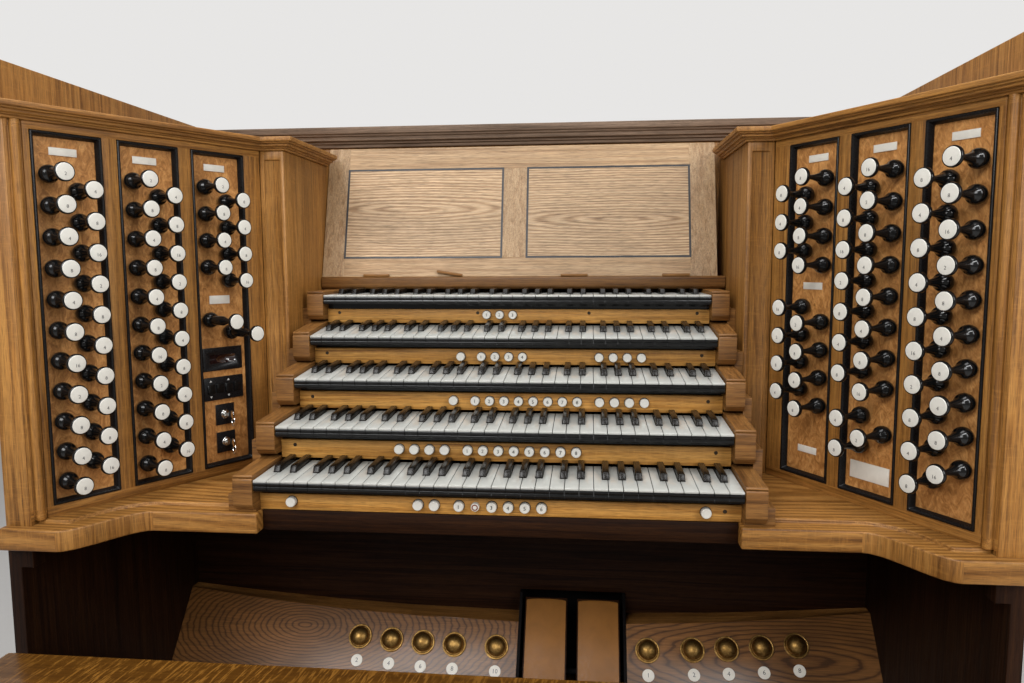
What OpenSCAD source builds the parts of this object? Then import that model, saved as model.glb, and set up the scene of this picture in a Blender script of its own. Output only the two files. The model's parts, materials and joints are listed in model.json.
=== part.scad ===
// Organ console with five manuals, angled stop jambs, swell pedals, a pedalboard and a bench.
// Sizes are in millimetres. The origin is on the floor, at the centre of the footprint, and the
// player sits on the -Y side. Most pieces are drawn from the datum, the front top edge of the
// lowest manual's keys, which placed() puts at its height over the floor.

/* [Manuals] */
// Height of the lowest manual's key tops over the floor
key_h = 845; // [820:5:880]
// Width of seven naturals
octave_w = 165; // [158:0.5:168]
// Step back from each manual to the next one above
manual_run = [98, 96, 90, 86]; // [84:1:110]
// Step up from each manual to the next one above
manual_rise = [70, 72, 73, 78]; // [68:1:84]
// Slope of the keys of each manual under the top one, rising to the back
manual_tilt = [1.5, 3.2, 5.2, 6.9]; // [0:0.1:8]
// Length of a natural's head, in front of the sharps
head_l = 49; // [46:0.5:52]
// Thickness of the pale top of a natural
nat_top_t = 3.5; // [2:0.25:5]
// Depth of the black front of a natural
nat_front_t = 15; // [12:0.5:18]
// Gap between keys
key_gap = 1.2; // [0.8:0.1:1.6]
// Width of a sharp
sharp_w = 11; // [9:0.5:12]
// Height of a sharp over the naturals
sharp_h = 11; // [9:0.5:12.5]
// Width of a key cheek
cheek_w = 34; // [26:1:44]
// Width of the stepped board between a key cheek and the wall of the well
step_w = 14.8; // [10:0.2:20]
// Set-back of the piston rail behind the key fronts
rail_back = 30; // [24:1:36]
// Thickness of a piston rail
rail_t = 18; // [12:1:24]
// Diameter of a thumb piston
piston_d = 17; // [12:0.5:20]
// Spacing of the thumb pistons
piston_pitch = 27.5; // [24:0.5:30]

/* [Jambs] */
// Angle of the stop jambs from the depth direction
jamb_angle = 30.9; // [26:0.1:36]
// Distance of the innermost stop panel behind the lowest key fronts
jamb_y = 273.4; // [255:1:290]
// Width of a stop panel
panel_w = 110.5; // [102:0.5:120]
// Oak between two stop panels
panel_gap = 25; // [18:1:32]
// Height of the bottom of the stop panels over the lowest key tops
panel_bot = -34.5; // [-40:0.5:-20]
// Height of the stop panels
panel_h = 605; // [570:5:640]
// Width of the black moulding round a stop panel
bead_w = 9; // [6:0.5:12]
// Depth of the stop boards behind the face of the jamb
board_back = 10; // [6:0.5:14]
// Diameter of a stop knob's head
knob_d = 31; // [26:0.5:34]
// Length of a stop knob from the stop board
knob_l = 70; // [66:0.5:76]
// How far the two coupler knobs are drawn
draw = 28; // [20:1:30]

/* [Case] */
// Width of the front face of a corner post
post_w = 43.3; // [30:0.1:60]
// Width of the front face of a pilaster
pilaster_w = 50; // [44:0.5:60]
// Thickness of the side walls
side_t = 22; // [16:1:28]
// Distance of the back wall behind the lowest key fronts
back_y = 620; // [600:5:700]
// Height of the rail and cornice over the stop panels
head_rail = 36.5; // [32:0.5:48]
// Height of the outer walls over the top shelves
parapet_h = 70; // [52:1:100]
// Width of the pilasters' sunk panel
sunk_w = 32; // [20:1:34]
// Projection of the cornice
cornice_out = 26; // [16:1:34]
// Top of the desk under the lowest key tops
desk_drop = 58; // [54:1:62]
// Thickness of the desk
desk_t = 35; // [28:1:40]

/* [Music desk] */
// Gap between the music desk and the right wall of the well
music_gap = 17.5; // [2:0.5:40]
// Gap between the music desk and the cornice over it
music_head = 7; // [3:0.5:40]
// Lean of the music desk's top to the back
music_lean = 80; // [60:1:90]
// Thickness of the ledge
ledge_t = 28; // [20:1:32]

/* [Foot controls] */
// Distance of the toe board behind the lowest key fronts, at the level toe_z
toe_y = 420; // [410:1:430]
// Level of the toe board's reference line under the lowest key tops
toe_z = 400; // [385:1:415]
// Slope of the toe board
toe_slope = 51.3; // [46:0.1:56]
// Diameter of a toe piston's ring
stud_ring_d = 52; // [48:1:56]
// Diameter of a toe piston's dome
stud_d = 40; // [34:1:42]
// Width of a swell pedal
shoe_w = 92; // [84:1:98]
// Length of a swell pedal
shoe_l = 285; // [270:1:300]
// Thickness of a swell pedal's tread
shoe_t = 12; // [8:1:14]

/* [Pedalboard] */
// Spacing of the pedal naturals at the toe end
pedal_pitch = 63.5; // [60:0.5:65]
// Length of a pedal natural
pedal_l = 680; // [640:5:700]
// Height of the middle pedal naturals over the floor
pedal_h = 92; // [84:1:100]
// Width of a pedal key
pedal_w = 22; // [18:0.5:24]
// Radius of the pedalboard, seen from above and from the front
pedal_r = 2590; // [2450:10:2800]

/* [Bench] */
// Width of the bench
bench_w = 1500; // [1440:5:1560]
// Depth of the bench seat
bench_d = 340; // [300:5:380]
// Height of the bench seat over the floor
bench_h = 600; // [570:5:640]
// Distance of the seat's far edge in front of the lowest key fronts
bench_y = 112; // [95:1:140]
// Thickness of the seat
seat_t = 36; // [28:1:44]

/* [Hidden] */

$fn = 48;
fit = 0.3;
cut = 1;

oak = "peru";
pale_oak = "burlywood";
dark_oak = "saddlebrown";
ebony = "black";
ivory = "ivory";
old_brass = "darkgoldenrod";
steel = "dimgray";
tread = "tan";

foot_over = 20;
bench_front = bench_y + bench_d + foot_over;
back_t = 25;
case_back = back_y + back_t;
y_keys = (bench_front - case_back) / 2;

manuals = len(manual_run) + 1;
natural_count = 34;
pitch = octave_w / 7;
half_keys = natural_count * pitch / 2;
cheek_play = 1.5;
cheek_in = half_keys + cheek_play;
cheek_out = cheek_in + cheek_w;
well_x = cheek_out + step_w;
stile_in = 37;
stile_out = 36;
panels = 3;
jamb_l = panels * panel_w + (panels - 1) * panel_gap + stile_out;
jamb_x = well_x + pilaster_w + stile_in * sin(jamb_angle);
case_x = jamb_x + jamb_l * sin(jamb_angle) + post_w;
side_in = case_x - side_t;
panel_top = panel_bot + panel_h;
shelf_top = panel_top + head_rail;
wall_top = shelf_top + parapet_h;
desk_top = -desk_drop;
desk_bot = desk_top - desk_t;
floor_z = -key_h;

function total(v, n) = n == 0 ? 0 : v[n - 1] + total(v, n - 1);
function front_y(i) = total(manual_run, i);
function front_z(i) = total(manual_rise, i);
function tilt(i) = i < len(manual_tilt) ? manual_tilt[i] : 0;
function flip(side, pts) = [for (p = pts) [side * p.x, p.y]];

// The datum's place over the floor
module placed() {
    translate([0, y_keys, key_h]) children();
}

// A shape given by its outline in depth and height, made wide from x0 to x1
module slab_x(x0, x1, pts) {
    translate([x0, 0, 0]) rotate([90, 0, 90]) linear_extrude(x1 - x0) polygon(pts);
}

// A shape on both sides of the centre plane
module both_sides() {
    children();
    mirror([1, 0, 0]) children();
}

// The right-hand piece, or its mirror image for the left hand
module hand(side) {
    mirror([side < 0 ? 1 : 0, 0, 0]) children();
}

// Manuals

naturals_with_sharp = [0, 1, 3, 4, 5];
sharp_shift = [-2.5, 2.5, 0, -3.5, 0, 3.5];
sharp_at = [for (i = [0:natural_count - 2]) if (len(search(i % 7, naturals_with_sharp)) > 0) i];
key_full = 126;
side_play = 0.9;
tail_gap = 1;

// Length of the keys of a manual, which stop at the rail of the manual over them
function key_l(i) = i < len(manual_run) ? min(key_full, manual_run[i] + rail_back - tail_gap) : key_full;

function sharp_x(i) = (i + 1) * pitch - half_keys + sharp_shift[i % 7];
function has_sharp(i) = i >= 0 && i < natural_count - 1 && len(search(i % 7, naturals_with_sharp)) > 0;
function tail_left(i) = has_sharp(i - 1)
    ? sharp_x(i - 1) + sharp_w / 2 + side_play
    : i * pitch - half_keys + key_gap / 2;
function tail_right(i) = has_sharp(i)
    ? sharp_x(i) - sharp_w / 2 - side_play
    : (i + 1) * pitch - half_keys - key_gap / 2;

module on_manual(i) {
    placed() translate([0, front_y(i), front_z(i)]) rotate([tilt(i), 0, 0]) children();
}

module natural_top(i, l) {
    left = i * pitch - half_keys + key_gap / 2;
    right = left + pitch - key_gap;
    translate([0, 0, -nat_top_t]) linear_extrude(nat_top_t) polygon([
        [left, 0], [right, 0], [right, head_l], [tail_right(i), head_l],
        [tail_right(i), l], [tail_left(i), l], [tail_left(i), head_l], [left, head_l]
    ]);
}

module naturals(i) {
    color(ivory) on_manual(i) for (k = [0:natural_count - 1]) natural_top(k, key_l(i));
}

sharp_rake = 6;
sharp_gap = 1;
sharp_foot = 1;

module sharps(i) {
    color(ebony) on_manual(i) for (k = sharp_at)
        slab_x(sharp_x(k) - sharp_w / 2, sharp_x(k) + sharp_w / 2, [
            [head_l + sharp_gap, -nat_top_t], [head_l + sharp_gap, sharp_foot],
            [head_l + sharp_gap + sharp_rake, sharp_h], [key_l(i), sharp_h], [key_l(i), -nat_top_t]
        ]);
}

front_inset = 1.5;
groove_deep = 9;
bed_t = 12;
bed_set = 34;
frame_tail = 64;
frame_l = key_full + frame_tail;
key_under = nat_top_t + nat_front_t;

module key_frame(i) {
    on_manual(i) difference() {
        union() {
            slab_x(-half_keys + key_gap / 2, half_keys - key_gap / 2, [
                [front_inset, -key_under], [frame_l, -key_under],
                [frame_l, -nat_top_t], [front_inset, -nat_top_t]
            ]);
            slab_x(-half_keys, half_keys, [
                [bed_set, -key_under - bed_t], [frame_l, -key_under - bed_t],
                [frame_l, -key_under], [bed_set, -key_under]
            ]);
        }
        for (k = [1:natural_count - 1])
            translate([k * pitch - half_keys - key_gap / 2, 0, -nat_top_t - groove_deep])
                cube([key_gap, head_l, groove_deep + cut]);
    }
}

module key_frames() {
    color(ebony) for (i = [0:manuals - 1]) key_frame(i);
}

// Underside of a key bed at the distance y behind its key fronts
function bed_z(i, y) = (y - (key_under + bed_t) * sin(tilt(i))) * tan(tilt(i))
    - (key_under + bed_t) * cos(tilt(i)) - fit;

// Top of the keys of a manual at the distance y behind its key fronts
function key_z(i, y) = y * tan(tilt(i));

rail_over = 4;

function rail_bottom(i) = i == 0
    ? desk_top
    : front_z(i - 1) - front_z(i) + key_z(i - 1, manual_run[i - 1] + rail_back) + rail_over;

module piston_rails() {
    color(pale_oak) placed() for (i = [0:manuals - 1])
        translate([0, front_y(i), front_z(i)])
            slab_x(-cheek_in + fit, cheek_in - fit, [
                [rail_back, rail_bottom(i)], [rail_back + rail_t, rail_bottom(i)],
                [rail_back + rail_t, bed_z(i, rail_back + rail_t)], [rail_back, bed_z(i, rail_back)]
            ]);
}

// Key cheeks: a moulded block beside each manual, on a stepped board along the well's wall

cheek_face = 42;
cheek_cap = 8;
cheek_cove = 9;
cheek_foot = 52;
cap_round = 2;
step_back = 14;
step_over = 24;

module cheek_block(i) {
    last = i == manuals - 1;
    long = last ? back_y - front_y(i) - fit : manual_run[i] + rail_back;
    rise = long * tan(tilt(i));
    translate([0, front_y(i), front_z(i)]) slab_x(cheek_in, cheek_out, [
        [cheek_cove, -cheek_foot], [0, -cheek_face], [0, 0], [cap_round, cap_round],
        [cap_round, cheek_cap - cap_round], [2 * cap_round, cheek_cap],
        [long, cheek_cap + rise], [long, -cheek_foot]
    ]);
}

module cheek_board() {
    for (i = [0:manuals - 1])
        translate([cheek_out - cut, front_y(i) + step_back, desk_top])
            cube([well_x - fit - cheek_out + cut, back_y - fit - front_y(i) - step_back,
                front_z(i) - cheek_foot + step_over - desk_top]);
}

module cheek_feet() {
    translate([cheek_in, step_back, desk_top])
        cube([cheek_w, manual_run[0], cheek_cap + desk_drop - cheek_foot]);
}

module key_cheeks(side) {
    color(oak) placed() hand(side) {
        for (i = [0:manuals - 1]) cheek_block(i);
        cheek_board();
        cheek_feet();
    }
}

// Thumb pistons: their centres stand a fixed drop under the key tops

piston_drop = 42.5;
piston_out = 10;
division_x = -57.5;
general_x = 176.5;
coupler_x = -99;
setter_x = 345;

function run_of(x0, n) = [for (k = [0:n - 1]) x0 + k * piston_pitch];

piston_x = [
    concat([-setter_x, coupler_x - piston_pitch, coupler_x], run_of(division_x, 6), [setter_x]),
    concat(run_of(coupler_x - 3 * piston_pitch, 4), run_of(division_x, 8)),
    concat([coupler_x], run_of(division_x, 8), run_of(general_x, 4)),
    concat([coupler_x], run_of(division_x, 4), run_of(general_x, 4)),
    run_of(division_x, 3)
];

module thumb_pistons() {
    color(ivory) placed() for (i = [0:manuals - 1]) for (x = piston_x[i])
        translate([x, front_y(i) + rail_back, front_z(i) - piston_drop])
            rotate([90, 0, 0]) cylinder(d = piston_d, h = piston_out);
}

// Jambs: drawn with x along the jamb from its innermost panel outwards and y into it

jamb_t = 28;
board_t = 12;
rebate = 10;
board_play = 0.5;

// A half-round bar that runs up the jamb beside the post, between two grooves
bar_r = 7;
bar_in = 16;
bar_x = jamb_l - bar_in;
quirk = 3;
shelf_t = 20;

function panel_x(p) = p * (panel_w + panel_gap);
function jamb_pt(s) = [jamb_x + s * sin(jamb_angle), jamb_y - s * cos(jamb_angle)];

pil_y = jamb_pt(-stile_in).y;
post = jamb_pt(jamb_l);

module on_jamb(side) {
    placed() hand(side) translate([jamb_x, jamb_y, 0]) rotate(jamb_angle - 90) children();
}

module jamb_frame(side) {
    z0 = desk_top + step_t;
    h = shelf_top - shelf_t - z0;
    color(oak) on_jamb(side) difference() {
        union() {
            translate([-stile_in, 0, z0]) cube([jamb_l + stile_in, jamb_t, h]);
            translate([bar_x, 0, z0]) cylinder(r = bar_r, h = shelf_top - cornice_h - z0);
        }
        for (p = [0:panels - 1]) {
            translate([panel_x(p), -cut, panel_bot]) cube([panel_w, jamb_t + 2 * cut, panel_h]);
            translate([panel_x(p) - rebate, board_back, panel_bot - rebate])
                cube([panel_w + 2 * rebate, jamb_t, panel_h + 2 * rebate]);
        }
        rotate(90 - jamb_angle) translate([post.x - jamb_x - fit, post.y - jamb_y - jamb_t, desk_top])
            cube([post_w, 3 * jamb_t, shelf_top - desk_top]);
        for (s = [bar_x - bar_r - quirk, bar_x + bar_r])
            translate([s, -cut, desk_top]) cube([quirk, quirk + cut, shelf_top - desk_top]);
    }
}

bush_hole = 10;
mouth_wall = 0.5;

module stop_boards(side) {
    color(pale_oak) on_jamb(side) difference() {
        for (p = [0:panels - 1])
            translate([panel_x(p) - rebate + board_play, board_back, panel_bot - rebate + board_play])
                cube([panel_w + 2 * (rebate - board_play), board_t, panel_h + 2 * (rebate - board_play)]);
        if (side < 0) for (k = [0, 1]) coupler_place(k)
            translate([0, 0, -board_t - cut]) cylinder(r = bush_hole, h = board_t + 2 * cut);
    }
}

bead_out = 2;
bead_top = bead_w / 2;

module board_beads(side) {
    color(ebony) on_jamb(side) for (p = [0:panels - 1])
        translate([panel_x(p), 0, panel_bot]) difference() {
            translate([fit, -bead_out, fit])
                cube([panel_w - 2 * fit, board_back + bead_out, panel_h - 2 * fit]);
            hull() {
                translate([bead_top, -bead_out - cut, bead_top])
                    cube([panel_w - 2 * bead_top, cut, panel_h - 2 * bead_top]);
                translate([bead_w, board_back, bead_w])
                    cube([panel_w - 2 * bead_w, cut, panel_h - 2 * bead_w]);
            }
        }
}

// Stop knobs: two staggered columns to a panel, one row each half pitch under the top row.
// Each knob is a head on a tapered neck, standing in a domed bush fixed to the board.

knob_head = 67.5;
knob_foot = 37.5;
rows_down = 10;
knob_top = panel_top - knob_head;
knob_pitch = (panel_h - knob_head - knob_foot) / rows_down;
near_col = 43.4;
far_col = 86.6;
bush_r = 15;
bush_c = 13;
bush_mouth = 50;
shank_r = 9;
cone_z = 26;
cone_l = 16.5;
neck_r = 4.2;
rim_t = 6;
rim_edge = 2;
flare_l = 18;
flare_mid = 11;

// The rows filled in the near and far column of each panel, from the innermost panel out
left_rows = [
    [[1, 3, 5, 7], [0, 2, 4, 6]],
    [[1:2:19], [0:2:20]],
    [[1:2:19], [0:2:20]]
];
right_rows = [
    [[1, 3, 5, 9, 11, 13, 15], [0, 2, 4, 6, 10, 12, 14, 16]],
    [[1, 3, 5, 7, 9, 11, 13, 16, 18], [0, 2, 4, 6, 8, 10, 12, 14, 17]],
    [[1:2:19], [0:2:18]]
];
coupler_rows = [10, 11];
coupler_cols = [1, 0];

function bush_arc() = [for (a = [-60:15:bush_mouth]) [bush_r * cos(a), bush_c + bush_r * sin(a)]];
function cone_pts() = [[shank_r, cone_z], [neck_r, cone_z + cone_l]];
function head_pts() = [
    [neck_r, knob_l - flare_l], [knob_d / 4, knob_l - flare_mid],
    [knob_d / 2 - rim_edge, knob_l - rim_t - rim_edge], [knob_d / 2, knob_l - rim_t],
    [knob_d / 2, knob_l - rim_edge], [knob_d / 2 - rim_edge, knob_l], [0, knob_l]
];

// Height of a row of knobs, or of a place between two rows
function row_z(row) = knob_top - row * knob_pitch / 2;

module knob_place(p, col, row) {
    translate([panel_x(p) + (col == 0 ? near_col : far_col), board_back, row_z(row)])
        rotate([90, 0, 0]) children();
}

module coupler_place(k) {
    knob_place(0, coupler_cols[k], coupler_rows[k]) children();
}

module closed_knob() {
    rotate_extrude() polygon(concat([[0, 0]], bush_arc(), cone_pts(), head_pts()));
}

module open_bush() {
    rotate_extrude() polygon(concat([[bush_hole, 0]],
        [for (p = bush_arc()) if (p.x > bush_hole + mouth_wall) p],
        [[bush_hole, bush_c + sqrt(bush_r * bush_r - bush_hole * bush_hole)]]));
}

module stop_knobs(side) {
    rows = side < 0 ? left_rows : right_rows;
    color(ebony) on_jamb(side) {
        for (p = [0:panels - 1]) for (col = [0, 1]) for (row = rows[p][col])
            knob_place(p, col, row) closed_knob();
        if (side < 0) for (k = [0, 1]) coupler_place(k) open_bush();
    }
}

shank_in = 14;

module coupler_knob(k) {
    color(ebony) on_jamb(-1) coupler_place(k) translate([0, 0, draw]) rotate_extrude()
        polygon(concat([[0, -shank_in], [shank_r, -shank_in]], cone_pts(), head_pts()));
}

// Plates and switches on the stop boards

plate_t = 1.5;
label_share = 0.35;
label_w = 43;
label_h = 12.5;
tall_label_h = 16;
big_plate_w = 77;
big_plate_h = 30;
col_gap = far_col - near_col;
label_x = near_col + label_share * col_gap;
label_drop = 29.5;
label_z = panel_top - label_drop;
label_shift = 3;
label_left = label_x - label_shift;
control_w = 84;
control_h = 45;
control_t = 4;

// The rows of knobs that each low plate and each control lines up with
combination_row = 8.5;
small_plate_rows = [7.5, 19.5];
big_plate_row = 19.9;
control_rows = [13.1, 15.4];
lock_rows = [17.5, 19.7];

// A flat plate on a stop board, by its middle and its size
module board_plate(p, x, z, w, h, t) {
    translate([panel_x(p) + x - w / 2, board_back - t, z - h / 2]) cube([w, t, h]);
}

module label_plates() {
    color(ivory) {
        for (side = [-1, 1]) on_jamb(side) for (p = [0:panels - 1])
            board_plate(p, label_x, label_z, label_w, label_h, plate_t);
        on_jamb(-1) board_plate(0, label_x, row_z(combination_row), label_w, tall_label_h, plate_t);
        on_jamb(1) {
            for (row = small_plate_rows) board_plate(0, label_left, row_z(row), label_w, label_h, plate_t);
            board_plate(1, label_left, row_z(big_plate_row), big_plate_w, big_plate_h, plate_t);
        }
    }
}

module control_panels() {
    color(ebony) on_jamb(-1) for (row = control_rows)
        board_plate(0, label_x, row_z(row), control_w, control_h, control_t);
}

lock_plate = 41;
lock_plate_t = 3;
lock_d = 20;
lock_t = 6;
key_t = 2.4;
key_bow = 18;
key_out = 26;

module key_switches() {
    color(steel) on_jamb(-1) for (row = lock_rows) {
        board_plate(0, label_x, row_z(row), lock_plate, lock_plate, lock_plate_t);
        translate([label_x, board_back - lock_plate_t, row_z(row)]) rotate([90, 0, 0]) {
            cylinder(d = lock_d, h = lock_t);
            translate([-key_t / 2, -key_bow / 2, lock_t]) cube([key_t, key_bow, key_out]);
        }
    }
}

// Case

post_d = 30;
step_t = 6;

module side_wall(side) {
    color(oak) placed() hand(side) {
        translate([side_in, post.y, floor_z]) cube([side_t, case_back - post.y, key_h + wall_top]);
        translate([post.x, post.y, desk_bot - desk_t])
            cube([case_x - post.x, post_d, shelf_top - shelf_t - desk_bot + desk_t]);
    }
}

module back_wall() {
    color(dark_oak) placed() translate([-side_in + fit, back_y, floor_z])
        cube([2 * (side_in - fit), back_t, key_h + wall_top]);
}

wing_in = 397;
inner_y = 2;
outer_y = -105;
ogee_x0 = 580;
ogee_x1 = 680;
step_set = 34;
curve_share = 0.8;

// Front edge of the desk from the centre outwards, an S-curve between two straight runs
function front_edge(inset) = [for (t = [0:0.1:1])
    [ogee_x0 + (ogee_x1 - ogee_x0) * t + inset * sin(180 * t) * curve_share,
     inner_y + (outer_y - inner_y) * (1 - cos(180 * t)) / 2 + inset]];

// Upper board of the desk, set back from the edge; it stops at the post
module desk_step() {
    translate([0, 0, desk_top]) linear_extrude(step_t) intersection() {
        polygon(concat([[wing_in, back_y - fit], [wing_in, inner_y + step_set]], front_edge(step_set),
            [[side_in - fit, outer_y + step_set], [side_in - fit, back_y - fit]]));
        polygon([[well_x + fit, back_y - fit], [well_x + fit, inner_y],
            [post.x - fit, outer_y], [post.x - fit, post.y + post_d + fit],
            [side_in - fit, post.y + post_d + fit], [side_in - fit, back_y - fit]]);
    }
}

module desk_wing(side) {
    color(oak) placed() hand(side) {
        translate([0, 0, desk_bot]) linear_extrude(desk_t)
            polygon(concat([[wing_in, back_y - fit], [wing_in, inner_y]], front_edge(0), [
                [case_x, outer_y], [case_x, post.y - fit], [post.x - fit, post.y - fit],
                [post.x - fit, post.y + post_d + fit], [side_in - fit, post.y + post_d + fit],
                [side_in - fit, back_y - fit]
            ]));
        desk_step();
    }
}

key_desk_y = 26;

module key_desk() {
    color(dark_oak) placed() translate([-wing_in + fit, key_desk_y, desk_bot])
        cube([2 * (wing_in - fit), back_y - key_desk_y - fit, desk_t]);
}

knee_y = 458;
knee_t = 20;

module knee_panel() {
    color(dark_oak) placed() difference() {
        translate([-side_in + fit, knee_y, floor_z])
            cube([2 * (side_in - fit), knee_t, key_h + desk_bot]);
        translate([box_x0, knee_y - cut, box_z0]) cube([box_w, knee_t + 2 * cut, box_z1 - box_z0]);
    }
}

pil_t = 22;
wall_in_t = 14;
sunk_d = 4;
sunk_margin = 22;

module pilaster(side) {
    z0 = desk_top + step_t;
    z1 = shelf_top - shelf_t;
    x1 = jamb_pt(-stile_in).x - fit;
    mid = (well_x + x1) / 2;
    color(oak) placed() hand(side) difference() {
        union() {
            translate([well_x, pil_y, z0]) cube([x1 - well_x, pil_t, z1 - z0]);
            translate([well_x, pil_y, z0]) cube([wall_in_t, back_y - fit - pil_y, z1 - z0]);
        }
        translate([mid - sunk_w / 2, pil_y - cut, z0 + sunk_margin])
            cube([sunk_w, sunk_d + cut, z1 - z0 - 2 * sunk_margin]);
    }
}

cornice_stop = 60;

// The line of the cornice, from the outer wall along the post, the jamb and the pilaster to the back
cornice_path = [[case_x, post.y], post, jamb_pt(-stile_in), [well_x, pil_y], [well_x, back_y - cornice_stop]];

function unit(v) = v / norm(v);
function side_normal(a, b) = [unit(b - a).y, -unit(b - a).x] * -1;
function mitre(path, i, d) =
    i == 0 ? path[0] + side_normal(path[0], path[1]) * d
    : i == len(path) - 1 ? path[i] + side_normal(path[i - 1], path[i]) * d
    : let (n0 = side_normal(path[i - 1], path[i]), n1 = side_normal(path[i], path[i + 1]))
      path[i] + (n0 + n1) * d / (1 + n0 * n1);
function offset_path(path, d) = [for (i = [0:len(path) - 1]) mitre(path, i, d)];
function reversed(v) = [for (i = [len(v) - 1:-1:0]) v[i]];

module cornice_layer(path, d, z0, z1) {
    translate([0, 0, z0]) linear_extrude(z1 - z0)
        polygon(concat(offset_path(path, 0), reversed(offset_path(path, d))));
}

// Each member of the cornice, from the lowest up: its share of the projection and its height
cornice_steps = [[0.2, 4], [0.36, 3], [0.62, 5], [0.84, 3], [1, 9]];
cornice_h = total([for (s = cornice_steps) s[1]], len(cornice_steps));

module cornice(side) {
    color(oak) placed() hand(side)
        for (k = [0:len(cornice_steps) - 1])
            let (z0 = shelf_top - cornice_h + total([for (s = cornice_steps) s[1]], k))
                cornice_layer(cornice_path, cornice_steps[k][0] * cornice_out, z0, z0 + cornice_steps[k][1]);
}

module top_shelf(side) {
    color(oak) placed() hand(side) translate([0, 0, shelf_top - shelf_t]) linear_extrude(shelf_t)
        polygon([
            [well_x + fit, back_y - fit], [well_x + fit, pil_y + fit], jamb_pt(-stile_in) + [0, fit],
            post + [fit, 2 * fit], [side_in - fit, post.y + 2 * fit], [side_in - fit, back_y - fit]
        ]);
}

upper_out = 30;
upper_steps = [[0.25, 8], [0.42, 6], [0.7, 10], [0.86, 5], [1, 16]];
upper_h = total([for (s = upper_steps) s[1]], len(upper_steps));

module back_cornice() {
    color(oak) placed() for (k = [0:len(upper_steps) - 1])
        let (z0 = wall_top - upper_h + total([for (s = upper_steps) s[1]], k))
            translate([-side_in + fit, back_y - upper_steps[k][0] * upper_out, z0])
                cube([2 * (side_in - fit), upper_steps[k][0] * upper_out, upper_steps[k][1]]);
}

// Music desk

ledge_gap = 2;
ledge_play = 1;
music_play = 1.5;
ledge_y = front_y(manuals - 1) + key_full + ledge_gap;
ledge_z = front_z(manuals - 1) + cheek_cap;
music_x0 = -well_x + music_play;
music_x1 = well_x - music_gap;
music_t = 20;
ledge_nose = 6;
ledge_round = 3;
music_set = 8;
music_h = wall_top - upper_h - music_head - ledge_z - ledge_t;
ledge_w = 2 * (well_x - ledge_play);

module music_ledge() {
    color(oak) placed() slab_x(-ledge_w / 2, ledge_w / 2, [
        [ledge_y + ledge_nose, ledge_z], [ledge_y, ledge_z + ledge_nose],
        [ledge_y, ledge_z + ledge_t - ledge_round], [ledge_y + ledge_round, ledge_z + ledge_t],
        [back_y - fit, ledge_z + ledge_t], [back_y - fit, ledge_z]
    ]);
}

module music_desk() {
    z0 = ledge_z + ledge_t;
    y0 = ledge_y + music_set;
    color(pale_oak) placed() slab_x(music_x0, music_x1, [
        [y0, z0], [y0 + music_t, z0], [y0 + music_t + music_lean, z0 + music_h],
        [y0 + music_lean, z0 + music_h]
    ]);
}

// Foot controls: drawn with y up the slope of the toe board and z out of its face

toe_bot = -175;
toe_sag = 48;
toe_t = 20;
toe_mid_top = -29.5;
toe_x = side_in - fit;
toe_r = (toe_x * toe_x + toe_sag * toe_sag) / (2 * toe_sag);
arc_steps = 16;
lip_in = 5;
lip_t = 16;
lip_set = 1.5;

function toe_arc(x) = toe_r - sqrt(toe_r * toe_r - x * x);
function toe_world(v, w) = [toe_y + v * cos(toe_slope) - w * sin(toe_slope),
    -toe_z + v * sin(toe_slope) + w * cos(toe_slope)];
toe_edge_x = [for (k = [-arc_steps:arc_steps]) k * toe_x / arc_steps];
function toe_edge_z(x) = toe_world(toe_mid_top + toe_arc(x), 0).y;

module on_toe_board() {
    placed() translate([0, toe_y, -toe_z]) rotate([toe_slope, 0, 0]) children();
}

shoe_x = [67, 180];
shoe_play = 8;
box_t = 6;
box_x0 = shoe_x[0] - shoe_w / 2 - shoe_play - box_t;
box_w = shoe_x[1] - shoe_x[0] + shoe_w + 2 * (shoe_play + box_t);
box_z0 = -628;
box_z1 = -373;
box_back = 575;

// Level shelf from the curved top edge of the toe board back to the knee panel, a little set back
module toe_shelf() {
    intersection() {
        placed() translate([0, knee_y, 0]) rotate([90, 0, 0]) linear_extrude(knee_y - toe_y - toe_bot)
            polygon(concat([for (x = toe_edge_x) [x, toe_edge_z(x)]],
                [for (x = reversed(toe_edge_x)) [x, toe_edge_z(x) - lip_t]]));
        on_toe_board() translate([-toe_x, toe_bot, -knee_y - lip_set]) cube([2 * toe_x, knee_y, knee_y]);
    }
}

module toe_board() {
    low = toe_world(toe_bot, -toe_t);
    color(dark_oak) difference() {
        union() {
            on_toe_board() translate([0, 0, -toe_t]) linear_extrude(toe_t) polygon(concat(
                [[-toe_x, toe_bot], [toe_x, toe_bot]],
                [for (x = reversed(toe_edge_x)) [x, toe_mid_top + toe_arc(x)]]));
            toe_shelf();
            placed() slab_x(-toe_x, toe_x, [[low.x - lip_in, low.y - lip_t], [low.x - lip_in, low.y],
                [knee_y, low.y], [knee_y, low.y - lip_t]]);
        }
        placed() translate([box_x0 - fit, low.x - 2 * lip_t, low.y - 2 * lip_t])
            cube([box_w + 2 * fit, knee_y - low.x + 4 * lip_t, toe_edge_z(toe_x) - low.y + 2 * lip_t + cut]);
    }
}

stud_left_x = [-340, -269, -199, -130, -38];
stud_right_x = [284, 378, 449, 521, 593];
stud_x = concat(stud_left_x, stud_right_x);
stud_under = 54.5;
number_under = 49.5;
ring_t = 4;
ring_edge = 1;
dome_z = 6;
dome_share = 0.75;
disc_d = 25;
disc_t = 2;

function stud_v(x) = toe_mid_top + toe_arc(x) - stud_under;

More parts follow.
